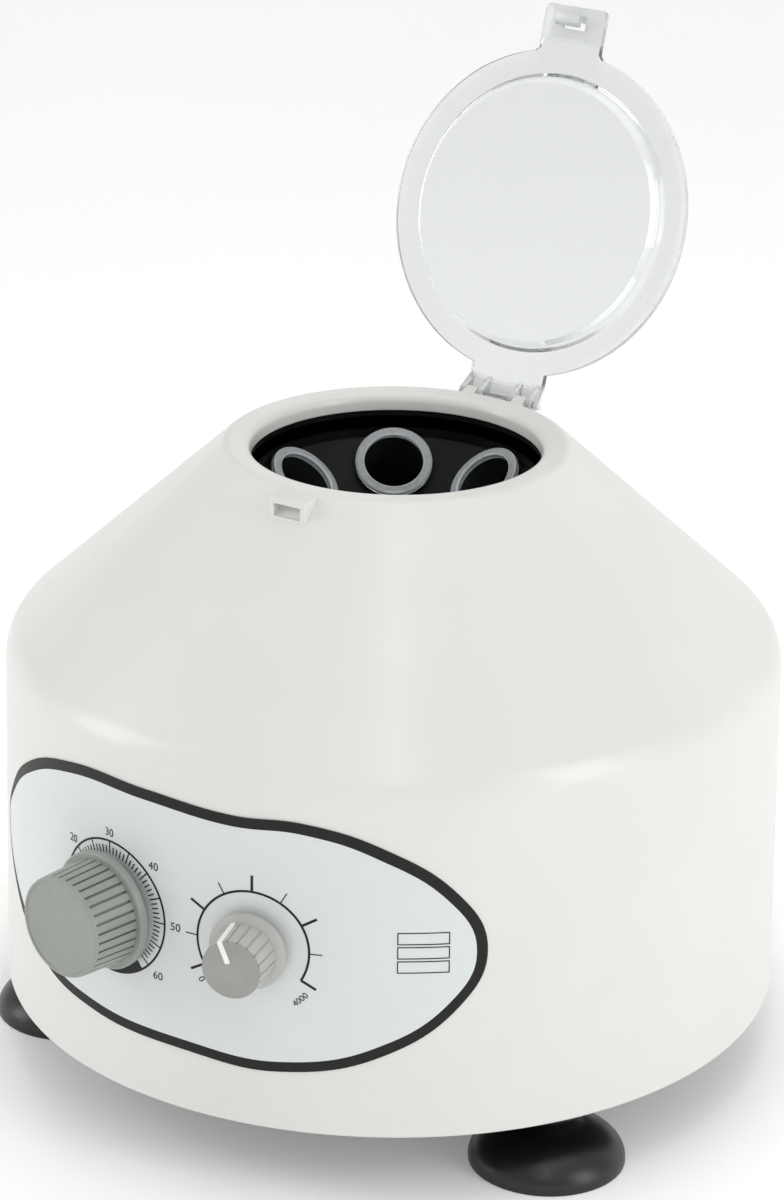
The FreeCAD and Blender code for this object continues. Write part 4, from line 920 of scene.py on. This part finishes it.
# ---- lid
def lid_plate():
    """Round plate with a flat flange and a sunk middle."""
    floor = BEVEL_RADIUS - 2.2
    low = LID_Z - LID_SINK
    slope = 1.2
    return spun("lid", rounded([
        (0, low), (floor, low, 0.5), (BEVEL_RADIUS, LID_Z, 0.5), (LID_EDGE, LID_Z, 0.3),
        (LID_EDGE, LID_TOP, 0.5), (BEVEL_RADIUS + slope, LID_TOP, 0.5),
        (floor + slope, LID_TOP - LID_SINK, 0.5), (0, LID_TOP - LID_SINK)], 4), 200)


def tongue():
    """Flat tongue over the latch boss, flared into the flange."""
    half = TONGUE_HALF
    reach = BOSS_FRONT + 5.6
    flare = 1.6
    corner, bend = 2.0, 1.5
    inside = 5 - LID_EDGE
    root = -sqrt(LID_EDGE ** 2 - (half + flare) ** 2)
    outline = rounded([(-half - flare, root + 0.5), (-half, root - flare, bend), (-half, -reach, corner),
                       (half, -reach, corner), (half, root - flare, bend), (half + flare, root + 0.5),
                       (half, inside), (-half, inside)], 5)
    return softened(upright("lid_tongue", outline, LID_Z, LID_TOP), 0.35)


def hook():
    """Leg in front of the latch boss with a barb that catches under its bar."""
    front = HOOK_BACK - 2.3
    tip = HOOK_BACK + 1.8
    top = LID_Z + 0.5
    barb_top = CREST_Z - BOSS_BAR - SEAT_GAP
    barb_low = barb_top - 2.2
    outline = [(front, barb_low), (HOOK_BACK + 0.4, barb_low), (tip, barb_top - 0.8), (tip, barb_top),
               (HOOK_BACK, barb_top), (HOOK_BACK, top), (front, top)]
    return softened(across("lid_hook", outline, HOOK_WIDTH), 0.2)


def hinge_rib(x):
    """Rib from the tab down to the hinge pin, rounded at the pin and clear of the cone below it."""
    clear_by, steps = 0.4, 8
    inside = LID_Z + 0.3
    line_y = LIP_RADIUS + clear_by * sin(CONE_RISE)
    top_y = line_y - (LID_Z - CREST_Z - clear_by * cos(CONE_RISE)) / CONE_SLOPE
    outline = [(top_y + 0.3, inside),
               (HINGE.y - KNUCKLE * sin(CONE_RISE), HINGE.z - KNUCKLE * cos(CONE_RISE))]
    sweep = CONE_RISE + pi / 2
    for step in range(steps + 1):
        angle = sweep * step / steps - sweep
        outline.append((HINGE.y + KNUCKLE * cos(angle), HINGE.z + KNUCKLE * sin(angle)))
    outline.append((HINGE.y + 1.5, inside))
    return softened(across("lid_rib", outline, RIB_THICK, x), 0.2)


def lid():
    """Clear lid, modelled shut and then swung open about its hinge."""
    plate = lid_plate()
    tab = upright("lid_tab", box_outline(-TAB_HALF, TAB_HALF, BEVEL_RADIUS + 3.5, HINGE.y + 1.5, 0.4),
                  LID_Z, LID_TOP)
    combined(plate, softened(tab, 0.3), "UNION")
    combined(plate, tongue(), "UNION")
    combined(plate, hook(), "UNION")
    for x in (-RIB_OFFSETS[1], -RIB_OFFSETS[0], RIB_OFFSETS[0], RIB_OFFSETS[1]):
        combined(plate, hinge_rib(x), "UNION")
    slot = upright("lid_slot", box_outline(-HOOK_WIDTH / 2, HOOK_WIDTH / 2, HOOK_BACK, HOOK_BACK + 2.5, 0.3),
                   LID_Z - 0.3, LID_Z + 4)
    combined(plate, slot, "DIFFERENCE")
    bore = bar("lid_bore", PIN + 0.06, 34, (0, HINGE.y, HINGE.z), (0, pi / 2, 0), 24)
    combined(plate, bore, "DIFFERENCE")
    for angle in EJECTOR_ANGLES:
        spot = Matrix.Rotation(radians(angle), 3, "Z") @ Vector((EJECTOR_CIRCLE, 0, LID_TOP + 0.4))
        combined(plate, bar("ejector_mark", 1.2, 1.0, spot), "DIFFERENCE")
    turned(plate, -LID_OPEN, HINGE, "X")
    smooth(plate, 30)
    return placed(plate, "lid", "clear_plastic", "lid")


def hinge_pin():
    outline = [(0, -PIN_HALF), (PIN, -PIN_HALF, 0.3), (PIN, PIN_HALF, 0.3), (0, PIN_HALF)]
    pin = spun("hinge_pin", rounded(outline, 3), 24)
    pin.matrix_world = Matrix.Translation(HINGE * MM) @ Matrix.Rotation(pi / 2, 4, "Y")
    return placed(smooth(settle(pin)), "base", "zinc_steel", "hinge_pin")


# ---- tubes
def mark_haze(tube, inner, flange, thick):
    """Write how milky the plastic is: 1 in the flange, 0 in the body and the bore; the rim edges get 2, a painted
    highlight that makes them paler.
    """
    haze = tube.data.attributes.new("haze", "FLOAT", "POINT")
    for vertex in tube.data.vertices:
        around = vertex.co.xy.length / MM
        high = vertex.co.z / MM
        # Painted highlight: the rim edges are made paler and less clear than the flange.
        highlit_rims = high > -0.65 and (around < inner + 0.5 or around > flange - 0.3)
        bore = around < inner + 0.1 and high < -1.0
        haze.data[vertex.index].value = 2.0 if highlit_rims else float(high > -thick - 0.1 and not bore)


def tubes():
    """Round-bottomed flanged tubes, one modelled and then copied into each place."""
    outer, wall, length, flange, thick = 11.0, 1.0, 103.0, 13.1, 2.4
    steps = 10
    inner = outer - wall
    middle_z = outer - length
    angles = [radians(90 * step / steps) for step in range(steps + 1)]
    outside = [(outer * sin(a), middle_z - outer * cos(a)) for a in angles]
    inside = [(inner * sin(a), middle_z - inner * cos(a)) for a in reversed(angles)]
    rim = rounded([(outer, -thick - 1), (outer, -thick, 0.5), (flange, -thick, 0.5), (flange, 0, 0.7),
                   (inner, 0, 0.6), (inner, -0.8), (inner, -1.2)], 4)
    model = spun("tube_model", outside + rim + inside, 72, False)
    mark_haze(model, inner, flange, thick)
    for index in range(6):
        name = "tube_%d" % (index + 1)
        seat = mount("tube_bore_%d" % (index + 1))
        axis = Vector(seat["axis"])
        mouth = Vector(seat["pos_m"]) + axis * seat["dims"]["length_mm"] / 2 * MM
        piece = copied(model, name + "_moulded")
        piece.matrix_world = Matrix.Translation(mouth) @ axis.to_track_quat("Z", "Y").to_matrix().to_4x4()
        smooth(settle(piece), 35)
        placed(piece, "free_tube" if index == 2 else "rotor", "milky_plastic", name)
    bpy.data.objects.remove(model)


# ---- feet
def feet():
    """Domed suction feet with a neck and a collar under the base plate."""
    radius, neck, edge, dome, top = 25.8, 8.25, 1.5, 13.0, 26.0
    hollow, seal = 3.0, 6
    collar, collar_z = neck + 6.5, 20.5
    crown = [(radius * cos(radians(a)), edge + dome * sin(radians(a))) for a in range(5, 70, 5)]
    sole = rounded([(0, hollow), (radius - seal, 0, 0.6), (radius, 0, 0.5), (radius, edge)], 4)
    upper = rounded([(neck, edge + dome, 0.8), (neck, collar_z), (collar, collar_z, 0.8), (collar, top, 0.4),
                     (0, top)], 4)
    model = spun("foot_model", sole + crown + upper, 96, False)
    for name in ("foot_front_right", "foot_front_left", "foot_rear"):
        low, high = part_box(name)
        piece = copied(model, name + "_cup")
        piece.location = ((low.x + high.x) / 2, (low.y + high.y) / 2, 0)
        smooth(settle(piece), 35)
        placed(piece, "base", "rubber", name)
    bpy.data.objects.remove(model)


# ---- fittings that keep the frame's shape with their edges softened
def eased(node, body, slot, width, angle=30.0):
    """A copy of a node, merged, its flat faces cleaned and its edges rounded."""
    source = frame["nodes"][node]
    piece = copied(source, node + "_eased")
    piece.parent = None
    for key in list(piece.keys()):
        del piece[key]
    pick(piece)
    edit("FACE")
    tidy_mesh()
    bpy.ops.mesh.select_all(action="SELECT")
    bpy.ops.mesh.dissolve_limited(angle_limit=radians(1.0))
    leave()
    softened(piece, width, 2, angle)
    smooth(piece, 35)
    return placed(piece, body, slot, node)


def rear_fittings():
    eased("mains_inlet", "base", "black_plastic", 0.4)
    eased("switch_frame", "base", "black_plastic", 0.4)
    eased("rocker", "rocker", "black_plastic", 0.3)
    eased("fuse_drawer", "fuse_drawer", "black_plastic", 0.25)
    eased("inlet_pins", "base", "brass_contact", 0.3)


# ---- stage, light and camera; these are in metres
def make_floor():
    """White floor that curves up far behind."""
    size = 6.0
    near_edge = size / 2 - 0.1
    fresh()
    bpy.ops.mesh.primitive_plane_add(size=size, location=(0, 0, 0))
    floor = named("floor")
    edit("EDGE")
    bpy.ops.mesh.select_all(action="DESELECT")
    leave()
    choose(floor, lambda edge: all(floor.data.vertices[v].co.y > near_edge for v in edge.vertices), "edges")
    edit("EDGE")
    for step in ((0, 0.6, 0.25), (0, 0.25, 0.6), (0, 0, 3.0)):
        bpy.ops.mesh.extrude_edges_move(TRANSFORM_OT_translate={"value": step})
    leave()
    # Matt white paper that glows a little, so that it stays white under the object's soft shadow.
    material, tree, main, place = begin("pale_paper", **{"Roughness": 0.9})
    tone = ramp(tree, noise(tree, place, 900.0), 0, 1)
    tree.links.new(tinted(tree, tone, "FBFBFB", "F7F7F7"), main.inputs["Base Color"])
    main.inputs["Emission Color"].default_value = (1.0, 1.0, 1.0, 1.0)
    main.inputs["Emission Strength"].default_value = 0.18
    dress(floor, material)
    settle(floor)


def make_world():
    """White surroundings, full bright at the horizon and softer above it."""
    world = bpy.data.worlds.new("studio")
    bpy.context.scene.world = world
    world.use_nodes = True
    tree = world.node_tree
    sky = tree.nodes["Background"]
    sky.inputs["Color"].default_value = (1.0, 1.0, 1.0, 1.0)
    direction = add(tree, "TexCoord").outputs["Generated"]
    height = add(tree, "SeparateXYZ", {"Vector": direction}).outputs["Z"]
    tree.links.new(ramp(tree, height, 1.0, 0.59, 0.05, 0.16), sky.inputs["Strength"])
    bpy.context.scene.view_settings.view_transform = "Standard"


def softbox(name, place, aim, width, height, power):
    """Rectangular soft light at a place, turned to a point; power in watts."""
    data = bpy.data.lights.new(name, "AREA")
    data.shape = "RECTANGLE"
    data.size = width
    data.size_y = height
    data.energy = power
    lamp = bpy.data.objects.new(name, data)
    bpy.context.collection.objects.link(lamp)
    lamp.location = place
    lamp.rotation_euler = (Vector(aim) - Vector(place)).to_track_quat("-Z", "Y").to_euler()


def lights():
    softbox("left_softbox", (-1.6, -1.0, 0.9), (0, 0, 0.12), 0.7, 1.2, 9)
    softbox("right_softbox", (1.9, -0.1, 0.8), (0, 0, 0.12), 0.8, 1.4, 10.5)
    softbox("front_strip", (0.49, -0.78, 1.31), (0, 0, 0.05), 0.08, 1.2, 1.8)
    softbox("top_softbox", (0.1, 0.2, 1.9), (0, 0, 0.1), 1.3, 1.3, 5)


def camera():
    """Long lens from the front right, a little above the object."""
    place = (0.6836, -1.0941, 0.6739)
    heading = Matrix.Rotation(radians(32.0) + 0.0006, 4, "Z")
    pitch = Matrix.Rotation(pi / 2 - 0.3813, 4, "X")
    roll = Matrix.Rotation(0.0129, 4, "Z")
    data = bpy.data.cameras.new("camera")
    data.lens = 124.3
    data.sensor_width = 36.0
    data.clip_end = 20.0
    eye = bpy.data.objects.new("camera", data)
    bpy.context.collection.objects.link(eye)
    eye.matrix_world = Matrix.Translation(place) @ heading @ pitch @ roll
    bpy.context.scene.camera = eye


# ---- everything
for subpart in frame["record"]["subparts"]:
    dress(frame["nodes"][subpart["node"]], FINISH[subpart["material_slot"]])

make_housing()
make_panel()
timer_knob()
speed_knob()
speed_cap()
speed_pointer()
lid()
hinge_pin()
tubes()
feet()
rear_fittings()
make_floor()
make_world()
lights()
camera()
